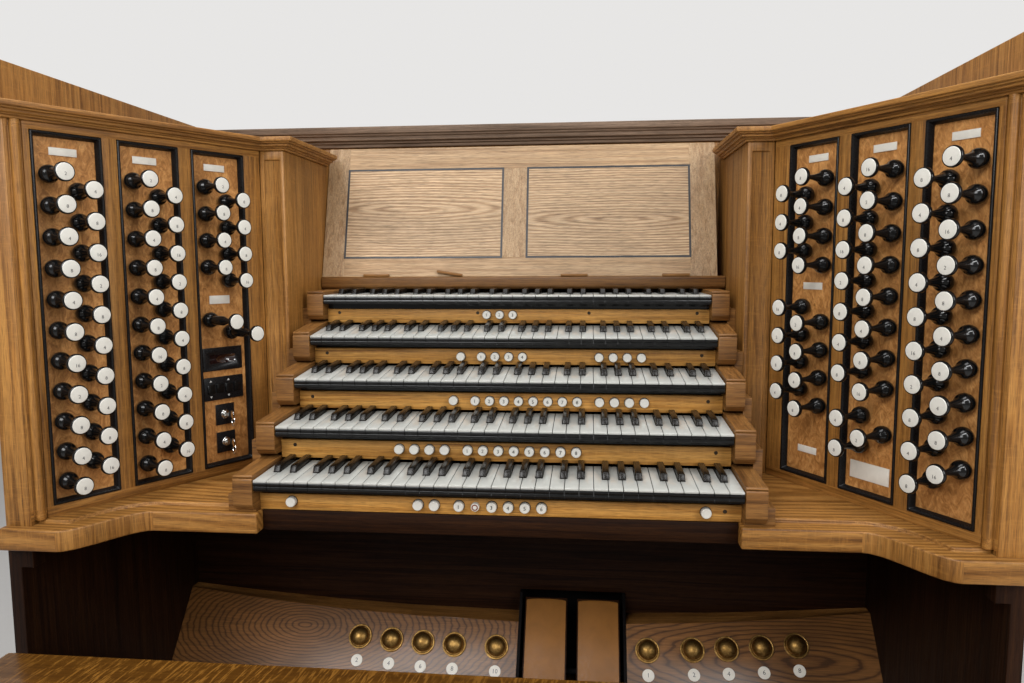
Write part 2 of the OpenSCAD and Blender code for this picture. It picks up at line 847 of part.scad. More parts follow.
module toe_pistons() {
    dome_r = stud_d / 2;
    dome_h = dome_r * dome_share;
    color(old_brass) on_toe_board() for (x = stud_x) translate([x, stud_v(x), 0]) rotate_extrude()
        polygon(concat([[0, 0], [stud_ring_d / 2, 0], [stud_ring_d / 2, ring_t - ring_edge],
            [stud_ring_d / 2 - ring_edge, ring_t], [dome_r + ring_edge, ring_t],
            [dome_r + ring_edge, ring_t / 2],
            [dome_r, ring_t / 2]],
            [for (a = [0:15:75]) [dome_r * cos(a), dome_z + dome_h * sin(a)]],
            [[0, dome_z + dome_h]]));
}

module toe_numbers() {
    color(ivory) on_toe_board() for (x = stud_x)
        translate([x, stud_v(x) - number_under, 0]) cylinder(d = disc_d, h = disc_t);
}

shoe_top = 22;
axle_r = 6;
axle_play = 0.05;
axle_v = -120;
axle_w = -30;
lug_w = 44;
lug_l = 32;
lug_under = 14;
box_low = 90;
box_high = 12;

module swell_pedal(k) {
    color(tread) on_toe_board() difference() {
        union() {
            translate([shoe_x[k] - shoe_w / 2, shoe_top - shoe_l, 0]) cube([shoe_w, shoe_l, shoe_t]);
            translate([shoe_x[k] - lug_w / 2, axle_v - lug_l / 2, axle_w - lug_under])
                cube([lug_w, lug_l, lug_under - axle_w]);
        }
        translate([shoe_x[k] - lug_w, axle_v, axle_w]) rotate([0, 90, 0])
            cylinder(r = axle_r + axle_play, h = 2 * lug_w);
    }
}

module swell_box() {
    axle = toe_world(axle_v, axle_w);
    x1 = box_x0 + box_w;
    color(ebony) placed() {
        for (x = [box_x0 + fit, x1 - box_t - fit]) slab_x(x, x + box_t, [
            toe_world(toe_bot - box_low, 0), [box_back, box_z0 + fit], [box_back, box_z1 - fit],
            toe_world(shoe_top + box_high, 0)
        ]);
        translate([box_x0 + fit, box_back - box_t, box_z0 + fit])
            cube([box_w - 2 * fit, box_t, box_z1 - box_z0 - 2 * fit]);
        translate([box_x0 + fit, axle.x, axle.y]) rotate([0, 90, 0])
            cylinder(r = axle_r, h = box_w - 2 * fit);
    }
}

// Pedalboard: keys on rays from one centre behind the player, rising to both sides

pedal_count = 19;
toe_end = 440;
pedal_centre = toe_end - pedal_r;
pedal_step = pedal_pitch / pedal_r * 180 / PI;
pedal_t = 26;
cap_l = 150;
cap_h = 28;
cap_front = 262;
cap_tail = 120;
cap_edge = 4;
rail_w = 18;
sharp_drop = 6;
rail_in = 14;
heel_flat = 16;
key_flat = 13.4;
heel_over = 30;
heel_rail_y = toe_end - pedal_l + rail_in;
mid_rail_y = cap_front - cap_tail + 2 * rail_in;
toe_rail_y = toe_end - rail_w - rail_in;
rail_foot = 14;
side_rail_t = 24;
side_over = 12;
side_share = 0.85;
rail_grip = 2;
pedal_sharp_at = [for (i = [0:pedal_count - 2]) if (len(search(i % 7, naturals_with_sharp)) > 0) i];

function pedal_angle(i) = (i - (pedal_count - 1) / 2) * pedal_step;
function pedal_rise(a) = pedal_r * (1 - cos(a));

module pedal_at(a) {
    placed() translate([0, pedal_centre, floor_z + pedal_h + pedal_rise(a)]) rotate(-a) children();
}

// Distance from the centre to the straight line of the keys' toe ends
function toe_reach(a) = pedal_r / cos(a);

module pedal_naturals() {
    heel = pedal_r - pedal_l;
    color(pale_oak) for (i = [0:pedal_count - 1]) let (a = pedal_angle(i)) pedal_at(a)
        translate([-pedal_w / 2, heel, -pedal_t]) cube([pedal_w, toe_reach(a) - heel, pedal_t]);
}

module pedal_sharps() {
    cap_y = cap_front - pedal_centre;
    color(ebony) for (i = pedal_sharp_at) let (a = pedal_angle(i + 0.5)) pedal_at(a)
        slab_x(-pedal_w / 2, pedal_w / 2, [
            [cap_y - cap_tail, -pedal_t], [cap_y - cap_tail, -sharp_drop], [cap_y, -sharp_drop],
            [cap_y + cap_edge, cap_h - cap_edge], [cap_y + 2 * cap_edge, cap_h], [cap_y + cap_l, cap_h],
            [cap_y + cap_l, -sharp_drop],
            [toe_reach(a), -sharp_drop], [toe_reach(a), -pedal_t]
        ]);
}

// Angle of the frame's side rails, just outside the last keys
side_angle = pedal_angle(pedal_count - 1) + pedal_step * side_share;

function ray_x(y, a) = (y - pedal_centre) * tan(a);

// A rail across the keys' undersides, stepped to each key, with flats that clear the next step
module pedal_rail(y, steps, flat) {
    mid_y = y + rail_w / 2;
    side = ray_x(mid_y, side_angle);
    top = [for (i = [0:steps:pedal_count - 1]) for (e = [-1, 1])
        [ray_x(mid_y, pedal_angle(i)) + e * flat,
         floor_z + pedal_h - pedal_t - fit + pedal_rise(pedal_angle(i))]];
    high = top[len(top) - 1].y;
    translate([0, y + rail_w, 0]) rotate([90, 0, 0]) linear_extrude(rail_w)
        polygon(concat([[-side, floor_z + rail_foot], [side, floor_z + rail_foot], [side, high]],
            reversed(top), [[-side, high]]));
}

module pedal_frame() {
    y0 = heel_rail_y - heel_over;
    y1 = knee_y - fit;
    x0 = ray_x(y0, side_angle);
    x1 = ray_x(y1, side_angle);
    color(dark_oak) placed() {
        pedal_rail(heel_rail_y, 1, heel_flat);
        pedal_rail(mid_rail_y, 0.5, key_flat);
        pedal_rail(toe_rail_y, 0.5, key_flat);
        both_sides() translate([0, 0, floor_z])
            linear_extrude(pedal_h + pedal_rise(side_angle) + side_over)
                polygon([[x0 - rail_grip, y0], [x0 + side_rail_t, y0],
                    [x1 + side_rail_t, y1], [x1 - rail_grip, y1]]);
    }
}

// Bench

end_t = 40;
seat_over = 60;
end_x = bench_w / 2 - seat_over;
foot_h = 60;
end_d = 240;
stretcher_z = 300;
stretcher_h = 110;
stretcher_t = 30;
stretcher_y = 60;
foot_d = bench_d + 2 * foot_over;

module bench_seat() {
    color(oak) placed() translate([-bench_w / 2, -bench_front, floor_z + bench_h - seat_t])
        cube([bench_w, bench_d, seat_t]);
}

module bench_frame() {
    mid = -bench_y - bench_d / 2;
    color(oak) placed() {
        both_sides() {
            translate([end_x - end_t, mid - foot_d / 2, floor_z]) cube([end_t, foot_d, foot_h]);
            translate([end_x - end_t, mid - end_d / 2, floor_z]) cube([end_t, end_d, bench_h - seat_t]);
        }
        translate([-end_x, mid + stretcher_y, floor_z + stretcher_z])
            cube([2 * end_x, stretcher_t, stretcher_h]);
    }
}

side_wall(-1);  // left_side_wall
side_wall(1);  // right_side_wall
back_wall();
knee_panel();
key_desk();
desk_wing(-1);  // left_desk_wing
desk_wing(1);  // right_desk_wing
jamb_frame(-1);  // left_jamb_frame
jamb_frame(1);  // right_jamb_frame
stop_boards(-1);  // left_stop_boards
stop_boards(1);  // right_stop_boards
board_beads(-1);  // left_board_beads
board_beads(1);  // right_board_beads
pilaster(-1);  // left_pilaster
pilaster(1);  // right_pilaster
cornice(-1);  // left_cornice
cornice(1);  // right_cornice
back_cornice();
top_shelf(-1);  // left_top_shelf
top_shelf(1);  // right_top_shelf
music_desk();
music_ledge();
naturals(0);  // manual_1_naturals
naturals(1);  // manual_2_naturals
naturals(2);  // manual_3_naturals
naturals(3);  // manual_4_naturals
naturals(4);  // manual_5_naturals
sharps(0);  // manual_1_sharps
sharps(1);  // manual_2_sharps
sharps(2);  // manual_3_sharps
sharps(3);  // manual_4_sharps
sharps(4);  // manual_5_sharps
key_frames();
key_cheeks(-1);  // left_key_cheeks
key_cheeks(1);  // right_key_cheeks
piston_rails();
thumb_pistons();
stop_knobs(-1);  // left_stop_knobs
stop_knobs(1);  // right_stop_knobs
coupler_knob(0);  // upper_coupler_knob
coupler_knob(1);  // lower_coupler_knob
control_panels();
key_switches();
label_plates();
toe_board();
toe_pistons();
toe_numbers();
swell_pedal(0);  // left_swell_pedal
swell_pedal(1);  // right_swell_pedal
swell_box();
pedal_frame();
pedal_naturals();
pedal_sharps();
bench_seat();
bench_frame();
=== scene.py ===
# %% [markdown]
# An organ console in oak: five keyboards between two angled jambs full of stop knobs,
# with a music desk over them and foot controls below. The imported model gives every
# board, key and knob its place, so this script only refines shapes and adds finishes.
# Nothing is moved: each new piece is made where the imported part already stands.

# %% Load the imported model
import json
import math
import bpy
from mathutils import Matrix, Vector

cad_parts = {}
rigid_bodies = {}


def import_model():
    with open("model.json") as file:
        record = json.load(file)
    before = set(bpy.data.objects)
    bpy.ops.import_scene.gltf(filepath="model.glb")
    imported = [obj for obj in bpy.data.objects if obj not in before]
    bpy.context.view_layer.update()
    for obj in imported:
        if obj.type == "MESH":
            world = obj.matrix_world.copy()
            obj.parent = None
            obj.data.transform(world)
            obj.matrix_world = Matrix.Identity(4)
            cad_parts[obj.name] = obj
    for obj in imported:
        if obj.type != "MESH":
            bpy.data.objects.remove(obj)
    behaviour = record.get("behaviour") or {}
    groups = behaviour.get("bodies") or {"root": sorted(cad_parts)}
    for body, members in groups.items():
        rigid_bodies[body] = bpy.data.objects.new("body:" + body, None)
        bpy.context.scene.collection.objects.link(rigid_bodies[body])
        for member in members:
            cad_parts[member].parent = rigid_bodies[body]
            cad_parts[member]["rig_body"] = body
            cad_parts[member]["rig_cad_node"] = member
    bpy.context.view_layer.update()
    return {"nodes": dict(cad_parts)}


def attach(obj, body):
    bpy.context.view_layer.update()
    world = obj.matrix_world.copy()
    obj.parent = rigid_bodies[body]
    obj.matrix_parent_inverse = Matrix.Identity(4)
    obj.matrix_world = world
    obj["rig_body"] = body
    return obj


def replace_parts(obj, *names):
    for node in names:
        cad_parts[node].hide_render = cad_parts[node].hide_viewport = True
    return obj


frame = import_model()
NODES = frame["nodes"]
bpy.ops.object.select_all(action="DESELECT")

# %% [markdown]
# Most measures of the console are taken from one point, the front top edge of the
# lowest keys in the middle of the keyboard, 845 mm over the floor. The two jambs turn
# away from the depth direction by 30.9 degrees, so a jamb has a frame of reference of
# its own: along it, out of its face, and up.

# %% Places that many pieces share
MM = 0.001
KEYS_Y = -86.5 * MM
KEYS_Z = 845 * MM
JAMB_ANGLE = math.radians(30.9)
JAMB_START = Vector((520.0 * MM, 273.4 * MM + KEYS_Y, KEYS_Z))
PANEL_STEP = 135.5 * MM
BOARD_BACK = 10 * MM
COLUMNS = (43.4 * MM, 86.6 * MM)
TOP_ROW = 503 * MM
ROW_DROP = 25 * MM
FRONT_Y = (0, 98, 194, 284, 370)
TOP_Z = (0, 70, 142, 215, 293)
TILT = (1.5, 3.2, 5.2, 6.9, 0)
LEVEL = (0, 0, 1)
STEEP = 0.5


def datum(x, y, z):
    """A point given in millimetres from the front top edge of the lowest keys."""
    return Vector((x * MM, y * MM + KEYS_Y, z * MM + KEYS_Z))


def moved(x, y, z):
    """A matrix that moves a piece by so many millimetres."""
    return Matrix.Translation(Vector((x, y, z)) * MM)


def spun(degrees, axis):
    """A matrix that turns a piece about one axis."""
    return Matrix.Rotation(math.radians(degrees), 4, axis)


def on_jamb(side, s, out, z):
    """A placing matrix on a jamb: local x to the viewer's right, y up and z out of its face."""
    along = Vector((side * math.sin(JAMB_ANGLE), -math.cos(JAMB_ANGLE), 0))
    outward = Vector((-side * math.cos(JAMB_ANGLE), -math.sin(JAMB_ANGLE), 0))
    up = Vector((0, 0, 1))
    start = Vector((side * JAMB_START.x, JAMB_START.y, JAMB_START.z))
    turn = Matrix((up.cross(outward), up, outward)).transposed().to_4x4()
    return Matrix.Translation(start + along * s + outward * out + up * z) @ turn


def on_board(side, panel, s, z):
    """A placing matrix on the face of one of a jamb's three stop boards."""
    return on_jamb(side, panel * PANEL_STEP + s, -BOARD_BACK, z)


def on_manual(number):
    """A placing matrix at the front top edge of a manual's keys, tilted as they are."""
    place = Matrix.Translation(datum(0, FRONT_Y[number], TOP_Z[number]))
    return place @ spun(TILT[number], "X")


def facing(x, y, z):
    """A placing matrix for a piece that faces the player, local z towards them, y up."""
    return Matrix.Translation(datum(x, y, z)) @ spun(90, "X")


TOE_SLOPE = 51.3
TOE_ORIGIN = datum(0, 420, -400)


def on_toe_board(x, v, out):
    """A placing matrix on the sloping toe board, local y up its slope, z out of it."""
    return Matrix.Translation(TOE_ORIGIN) @ spun(TOE_SLOPE, "X") @ moved(x, v, out)


print("left jamb starts at", on_jamb(-1, 0, 0, 0).translation)

# %% [markdown]
# Every finish is made of noise and ramps on the object's own coordinates. Small helpers
# wire the nodes, so that a material reads as a list of what is seen in the wood: bands
# of growth rings, fine dark pores, pale flecks, and a slow change of tone.


def new_material(name):
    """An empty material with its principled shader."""
    mat = bpy.data.materials.new(name + "_finish")
    mat.use_nodes = True
    return mat, mat.node_tree, mat.node_tree.nodes["Principled BSDF"]


def add(tree, kind, **values):
    """One node, with its plain attributes set."""
    node = tree.nodes.new(kind)
    for key, value in values.items():
        setattr(node, key, value)
    return node


def feed(node, values):
    """Plain numbers and colours for some inputs of a node."""
    for key, value in values.items():
        node.inputs[key].default_value = value


def ramp(source, stops):
    """A colour ramp fed by source, with (position, grey or colour) stops."""
    tree = source.id_data
    node = add(tree, "ShaderNodeValToRGB")
    marks = node.color_ramp.elements
    while len(marks) < len(stops):
        marks.new(0.5)
    for mark, (place, value) in zip(marks, stops):
        mark.position = place
        mark.color = (*value, 1) if isinstance(value, tuple) else (value, value, value, 1)
    tree.links.new(source, node.inputs["Fac"])
    return node.outputs["Color"]


def mix(tree, factor, first, second, blend="MIX"):
    """Two colours mixed by a factor; each may be a socket, a number or a colour."""
    node = add(tree, "ShaderNodeMix", data_type="RGBA", blend_type=blend)
    for index, value in ((0, factor), (6, first), (7, second)):
        if isinstance(value, bpy.types.NodeSocket):
            tree.links.new(value, node.inputs[index])
        elif isinstance(value, tuple):
            node.inputs[index].default_value = (*value, 1)
        else:
            node.inputs[index].default_value = value
    return node.outputs[2]


NO_TURN = (0, 0, 0)
EVEN = (1, 1, 1)


def stretched(tree, turn=NO_TURN, scale=EVEN, shift=(0, 0, 0)):
    """The object's coordinates, shifted, turned and then squeezed along each axis."""
    place = add(tree, "ShaderNodeTexCoord").outputs["Object"]
    for key, value in (("Location", shift), ("Rotation", turn), ("Scale", scale)):
        step = add(tree, "ShaderNodeMapping")
        step.inputs[key].default_value = value
        tree.links.new(place, step.inputs["Vector"])
        place = step.outputs["Vector"]
    return place


def noise(tree, turn, squeeze, cells, detail, rough=0.5, bend=0.0):
    """Noise with so many cells a metre, on coordinates that are turned and squeezed."""
    node = add(tree, "ShaderNodeTexNoise")
    feed(node, {"Scale": cells, "Detail": detail, "Roughness": rough, "Distortion": bend})
    tree.links.new(stretched(tree, turn, squeeze), node.inputs["Vector"])
    return node.outputs["Fac"]


def shaded(share, colour, source, low, high):
    """A share of darker and lighter places, where the noise is low and high."""
    shade = ramp(source, [(0.3, low), (0.7, high)])
    return mix(source.id_data, share, colour, shade, "MULTIPLY")


def dress(shader, colour, rough, shine=0.5):
    """The colour, roughness and shine that a finish ends with."""
    tree = shader.id_data
    tree.links.new(colour, shader.inputs["Base Color"])
    tree.links.new(rough, shader.inputs["Roughness"])
    shader.inputs["Specular IOR Level"].default_value = shine


def bump(shader, height, depth, strength):
    """Surface relief of that depth in metres."""
    tree = shader.id_data
    node = add(tree, "ShaderNodeBump")
    feed(node, {"Strength": strength, "Distance": depth})
    tree.links.new(height, node.inputs["Height"])
    tree.links.new(node.outputs["Normal"], shader.inputs["Normal"])


# %% [markdown]
# One builder makes all the timbers. The grain runs along the length of each board, as a
# joiner lays it, so the coordinates are turned until local x runs along the grain, then
# squeezed that way. A board cut across the rings shows loops, called cathedral figure:
# rings about a far point, squeezed along the grain. Quarter-sawn oak shows pale flecks.

# %% The timber builder
WAX_SHINE = 0.3
RINGS = 90.0
GRAIN = {
    "x": (0, 0, 0),
    "y": (0, 0, math.radians(-90)),
    "z": (0, math.radians(90), 0),
    "left jamb": (0, 0, JAMB_ANGLE - math.radians(90)),
    "right jamb": (0, 0, math.radians(90) - JAMB_ANGLE),
}


def ring_figure(tree, turn, centre, squeeze, loops):
    """Loops about a centre, as where a board cuts the growth rings."""
    shift = tuple(-c for c in centre)
    wave = add(tree, "ShaderNodeTexWave", wave_type="RINGS", rings_direction="SPHERICAL")
    feed(wave, {"Scale": loops, "Distortion": 5.0, "Detail": 3.0, "Detail Scale": 0.8})
    tree.links.new(stretched(tree, turn, (squeeze, 1, 1), shift), wave.inputs["Vector"])
    return wave.outputs["Fac"]


def timber(
    name, along, tones, rays=0.0, gloss=0.42, loops=None, pore=0.75, shine=WAX_SHINE
):
    """A timber from pale, middle and dark tones; loops is (centre, squeeze, count, share)."""
    pale, middle, dark = tones
    mat, tree, shader = new_material(name)
    turn = GRAIN[along]
    bands = noise(tree, turn, (0.028, 1, 1), RINGS, 3, 0.55, 1.2)
    if loops:
        centre, squeeze, count, share = loops
        figure = ring_figure(tree, turn, centre, squeeze, count)
        bands = mix(tree, share, bands, ramp(figure, [(0.0, 0.2), (1.0, 0.78)]))
    fine = noise(tree, turn, (0.02, 1, 1), RINGS * 5, 2, 0.6, 0.4)
    tone = noise(tree, turn, (0.3, 1, 1), 6, 2, 0.5, 0.3)
    pores = noise(tree, turn, (0.03, 1, 1), 1400, 1, 0.5)
    wood = ramp(bands, [(0.3, dark), (0.46, middle), (0.68, pale)])
    wood = shaded(1.0, wood, fine, 0.74, 1.12)
    wood = shaded(0.6, wood, tone, 0.66, 1.25)
    pore_mask = ramp(pores, [(0.38, 0.5), (0.5, 1.0)])
    wood = mix(tree, pore, wood, pore_mask, "MULTIPLY")
    if rays > 0:
        fleck = noise(tree, turn, (0.9, 0.16, 0.16), 190, 2, 0.5, 1.6)
        mask = ramp(fleck, [(0.56, 0.0), (0.66, 1.0)])
        strength = mix(tree, rays, (0.0, 0.0, 0.0), mask)
        wood = mix(tree, strength, wood, tuple(min(1.0, c * 1.4) for c in pale))
    rough = ramp(fine, [(0.3, gloss + 0.12), (0.75, gloss - 0.06)])
    dress(shader, wood, rough, shine)
    bump(shader, pore_mask, 0.00025, 0.5)
    return mat


# %% The timbers of the console
OAK = ((0.43, 0.203, 0.048), (0.32, 0.138, 0.028), (0.175, 0.068, 0.0105))
BROWN_OAK = ((0.3, 0.138, 0.036), (0.22, 0.094, 0.022), (0.12, 0.047, 0.009))
# Darker brown oak for the music ledge: the extra darkness is painted shade where the light falls
# off.
LEDGE_SHADE_OAK = ((0.22, 0.1, 0.026), (0.16, 0.068, 0.016), (0.09, 0.035, 0.007))
HONEY_OAK = ((0.66, 0.34, 0.085), (0.53, 0.25, 0.052), (0.34, 0.14, 0.023))
DESK_OAK = ((0.54, 0.37, 0.215), (0.45, 0.295, 0.16), (0.3, 0.175, 0.085))
DESK_RAIL_OAK = ((0.46, 0.305, 0.165), (0.385, 0.24, 0.12), (0.28, 0.155, 0.068))
# Greyed, darker oak for the back cornice: dust, and painted shade where it stands in shadow.
DUST_AND_SHADE_OAK = ((0.22, 0.145, 0.095), (0.16, 0.1, 0.062), (0.09, 0.052, 0.028))
# Near-black oak for the well under the desk: dark oak darkened further as painted shade.
PAINTED_SHADE_OAK = ((0.034, 0.012, 0.0035), (0.02, 0.0065, 0.002), (0.009, 0.003, 0.001))
TOE_OAK = ((0.2, 0.083, 0.02), (0.15, 0.06, 0.0145), (0.075, 0.029, 0.007))
MAPLE = ((0.6, 0.44, 0.26), (0.52, 0.36, 0.2), (0.4, 0.26, 0.13))
oak_up = timber("oak_upright", "z", OAK, rays=0.1)
figure_desk = ((0.2, 0.1, 0.9), 0.12, 30, 0.5)
oak_across = timber("oak_across", "x", OAK, rays=0.1, loops=figure_desk)
oak_deep = timber("oak_deep", "y", OAK, rays=0.1)
oak_left = timber("oak_left_jamb", "left jamb", OAK, rays=0.06)
oak_right = timber("oak_right_jamb", "right jamb", OAK, rays=0.06)
dust_and_shade_oak = timber("dust_and_shade_oak", "x", DUST_AND_SHADE_OAK, gloss=0.6)
brown_oak = timber("brown_oak_deep", "y", BROWN_OAK, rays=0.1)
ledge_oak = timber("brown_oak_across", "x", BROWN_OAK)
music_ledge_shade_oak = timber("music_ledge_shade_oak", "x", LEDGE_SHADE_OAK)
rail_oak = timber("rail_oak", "x", HONEY_OAK, rays=0.05)
figure_right = ((0.22, 0.45, 1.3), 0.1, 52, 0.6)
figure_left = ((-0.26, 0.45, 1.33), 0.11, 50, 0.6)
panel_right = timber("music_panel_right", "x", DESK_OAK, loops=figure_right, pore=0.9)
panel_left = timber("music_panel_left", "x", DESK_OAK, loops=figure_left, pore=0.9)
desk_rail_oak = timber("music_rail_oak", "x", DESK_RAIL_OAK)
desk_stile_oak = timber("music_stile_oak", "z", DESK_RAIL_OAK)
painted_shade_across = timber("painted_shade_oak_across", "x", PAINTED_SHADE_OAK, gloss=0.5, shine=0.1)
painted_shade_upright = timber("painted_shade_oak_upright", "z", PAINTED_SHADE_OAK, gloss=0.5, shine=0.1)
pedal_maple = timber("pedal_wood", "y", MAPLE, gloss=0.4)

# %% [markdown]
# Two boards have a figure of their own. The toe board was cut right through the heart
# of the log, so its loops are wide and nearly black. The bench seat is quarter-sawn:
# its flecks are long bright streaks that cross the board at a slant.

# %% Toe board and bench
def toe_board_oak():
    """Dark oak with two wide sets of loops, one on each side of the pedals."""
    mat, tree, shader = new_material("toe_board_oak")
    left = ring_figure(tree, GRAIN["x"], (-0.47, 0.3, 0.4), 0.42, 52)
    right = ring_figure(tree, GRAIN["x"], (0.62, 0.3, 0.36), 0.22, 44)
    split = add(tree, "ShaderNodeSeparateXYZ")
    tree.links.new(stretched(tree), split.inputs["Vector"])
    side = ramp(split.outputs["X"], [(0.0, 0.0), (0.02, 1.0)])
    loops = mix(tree, side, left, right)
    fine = noise(tree, NO_TURN, (0.04, 1, 1), 420, 3, 0.6, 0.6)
    tone = noise(tree, NO_TURN, (0.6, 1, 1), 7, 2)
    pale, middle, dark = TOE_OAK
    wood = ramp(loops, [(0.02, dark), (0.16, middle), (0.7, pale)])
    wood = shaded(1.0, wood, fine, 0.6, 1.15)
    wood = shaded(0.8, wood, tone, 0.6, 1.3)
    dress(shader, wood, ramp(fine, [(0.3, 0.5), (0.7, 0.38)]), 0.25)
    feed(shader, {"Coat Weight": 0.3, "Coat Roughness": 0.22})
    bump(shader, fine, 0.0002, 0.5)
    return mat


def bench_oak_finish():
    """Honey oak crossed by slanting bright rays."""
    mat, tree, shader = new_material("bench_oak")
    slant = (0, 0, math.radians(7))
    rays = noise(tree, slant, (1, 0.09, 0.3), 210, 2, 0.5, 1.4)
    bands = noise(tree, NO_TURN, (0.03, 1, 1), 80, 3, 0.55, 1.0)
    patch = noise(tree, NO_TURN, (1, 0.6, 1), 4, 2)
    tones = [(0.3, (0.075, 0.028, 0.004)), (0.5, (0.11, 0.043, 0.006)), (0.7, (0.15, 0.06, 0.009))]
    wood = ramp(bands, tones)
    where = ramp(patch, [(0.32, 0.2), (0.55, 0.8)])
    amount = mix(tree, 1.0, ramp(rays, [(0.53, 0.0), (0.59, 1.0)]), where, "MULTIPLY")
    wood = mix(tree, amount, wood, (0.33, 0.145, 0.024))
    dress(shader, wood, ramp(bands, [(0.3, 0.36), (0.7, 0.24)]), WAX_SHINE)
    bump(shader, bands, 0.0002, 0.4)
    return mat


toe_oak = toe_board_oak()
bench_oak = bench_oak_finish()

# %% [markdown]
# The boards behind the stop knobs are faced with a fine burr veneer. Its figure has no
# direction: small swirls, dark pips and a pinkish tone. A noise with strong distortion
# makes the swirls, and a cell pattern gives the pips.

# %% Burr veneer
def burr_finish():
    """A veneer of small swirls with dark pips."""
    mat, tree, shader = new_material("burr_veneer")
    swirl = noise(tree, NO_TURN, (1, 1, 0.6), 62, 5, 0.62, 2.2)
    cloud = noise(tree, NO_TURN, EVEN, 9, 3, 0.5, 0.8)
    fine = noise(tree, (0.5, 0.3, 0), (1, 1, 0.25), 520, 3, 0.6, 0.6)
    tones = [(0.34, (0.3, 0.122, 0.031)), (0.5, (0.48, 0.212, 0.06)), (0.66, (0.64, 0.32, 0.105))]
    wood = ramp(swirl, tones)
    wood = shaded(0.6, wood, cloud, 0.74, 1.18)
    wood = shaded(0.7, wood, fine, 0.68, 1.16)
    cells = add(tree, "ShaderNodeTexVoronoi")
    cells.inputs["Scale"].default_value = 70
    tree.links.new(stretched(tree), cells.inputs["Vector"])
    pips = ramp(cells.outputs["Distance"], [(0.06, 0.45), (0.16, 1.0)])
    wood = mix(tree, 0.6, wood, pips, "MULTIPLY")
    dress(shader, wood, ramp(fine, [(0.3, 0.5), (0.7, 0.36)]), WAX_SHINE)
    bump(shader, fine, 0.00012, 0.4)
    return mat


burr_veneer = burr_finish()

# %% [markdown]
# The other finishes are simpler: polished black, ivory white, tarnished brass and the
# tan treads. Each still gets its own mottling, and scuffs in its gloss, because a
# perfectly even colour never looks like a handled instrument.

# %% Other finishes
def plain(name, colour, rough, vary=0.15, scale=60, metal=0.0, relief=0.0, shine=0.5):
    """A finish of one colour with slight mottling, and scuffs in its gloss."""
    mat, tree, shader = new_material(name)
    cloud = noise(tree, NO_TURN, EVEN, scale, 4, 0.55, 0.5)
    mottled = shaded(1.0, colour, cloud, 1 - vary, 1 + vary)
    scuff = noise(tree, NO_TURN, EVEN, scale * 9, 3, 0.6, 0.8)
    gloss = ramp(scuff, [(0.35, rough * 0.8), (0.75, rough * 1.3)])
    dress(shader, mottled, gloss, shine)
    shader.inputs["Metallic"].default_value = metal
    if relief:
        bump(shader, scuff, relief, 0.5)
    return mat


knob_black = plain("knob_black", (0.005, 0.005, 0.005), 0.14, shine=0.4)
bead_black = plain("moulding_black", (0.007, 0.006, 0.006), 0.3, shine=0.25)
inlay_black = plain("inlay_black", (0.022, 0.021, 0.022), 0.4, shine=0.3)
ivory = plain("knob_ivory", (0.68, 0.66, 0.6), 0.32, vary=0.05, scale=90)
key_white = plain("key_white", (0.47, 0.475, 0.445), 0.2, vary=0.05, scale=40)
key_black = plain("key_black", (0.006, 0.006, 0.006), 0.2, shine=0.3)
plate_ivory = plain("plate_ivory", (0.76, 0.72, 0.64), 0.45, vary=0.06)
control_black = plain("control_black", (0.008, 0.008, 0.009), 0.3, shine=0.3)
window_dark = plain("display_window", (0.02, 0.007, 0.006), 0.06, shine=1.0)
print_black = plain("printing_black", (0.015, 0.015, 0.016), 0.5)
mark_white = plain("printing_white", (0.6, 0.6, 0.58), 0.5)
steel = plain("lock_steel", (0.72, 0.71, 0.68), 0.12, metal=1.0)
copper_ring = plain("copper_ring", (0.24, 0.06, 0.03), 0.35, metal=0.4)
screw_dark = plain("screw_dark", (0.05, 0.035, 0.022), 0.4, metal=0.7)
TAN = (0.25, 0.1, 0.017)
tread_tan = plain("swell_tread", TAN, 0.5, 0.1, 30, relief=0.0002, shine=0.3)
# Near-black for the swell box: painted shade in the recess around the treads.
recess_black = plain("recess_black", (0.005, 0.004, 0.004), 0.8, shine=0.1)


def old_brass_finish():
    """Brass in bright and brown patches, spread at random."""
    mat, tree, shader = new_material("old_brass")
    cloud = noise(tree, NO_TURN, EVEN, 130, 5, 0.65, 1.0)
    tones = [(0.3, (0.12, 0.062, 0.017)), (0.5, (0.26, 0.15, 0.045)), (0.75, (0.46, 0.285, 0.098))]
    rough = ramp(cloud, [(0.3, 0.55), (0.75, 0.34)])
    dress(shader, ramp(cloud, tones), rough)
    shader.inputs["Metallic"].default_value = 1.0
    return mat


def ebony_finish():
    """The black wood of the sharps: brown streaks along the key under a dull polish."""
    mat, tree, shader = new_material("sharp_ebony")
    streak = noise(tree, GRAIN["y"], (0.05, 1, 1), 420, 3, 0.6, 0.5)
    wood = ramp(streak, [(0.35, (0.003, 0.0025, 0.002)), (0.7, (0.013, 0.01, 0.0075))])
    dress(shader, wood, ramp(streak, [(0.3, 0.2), (0.7, 0.32)]), 0.2)
    bump(shader, streak, 0.0001, 0.4)
    return mat


brass = old_brass_finish()
ebony = ebony_finish()

# %% [markdown]
# Each piece ends the same way: its shape is set in place, its smooth faces are shaded
# smooth, it takes its material, and it is told which body of the model carries it.

# %% Helpers that finish a piece
SMOOTH_UNDER = math.radians(32)
TOUCHING = 0.000001


def select_only(obj):
    """One object selected and active."""
    bpy.ops.object.select_all(action="DESELECT")
    obj.select_set(True)
    bpy.context.view_layer.objects.active = obj


def mode(name):
    """Into edit mode, or back to object mode."""
    bpy.ops.object.mode_set(mode=name)


def edit_all(obj):
    """The object in edit mode with everything selected."""
    select_only(obj)
    mode("EDIT")
    bpy.ops.mesh.select_all(action="SELECT")


def raised(height):
    """The selected faces drawn out by so many millimetres along z."""
    move = {"value": (0, 0, height * MM)}
    bpy.ops.mesh.extrude_region_move(TRANSFORM_OT_translate=move)


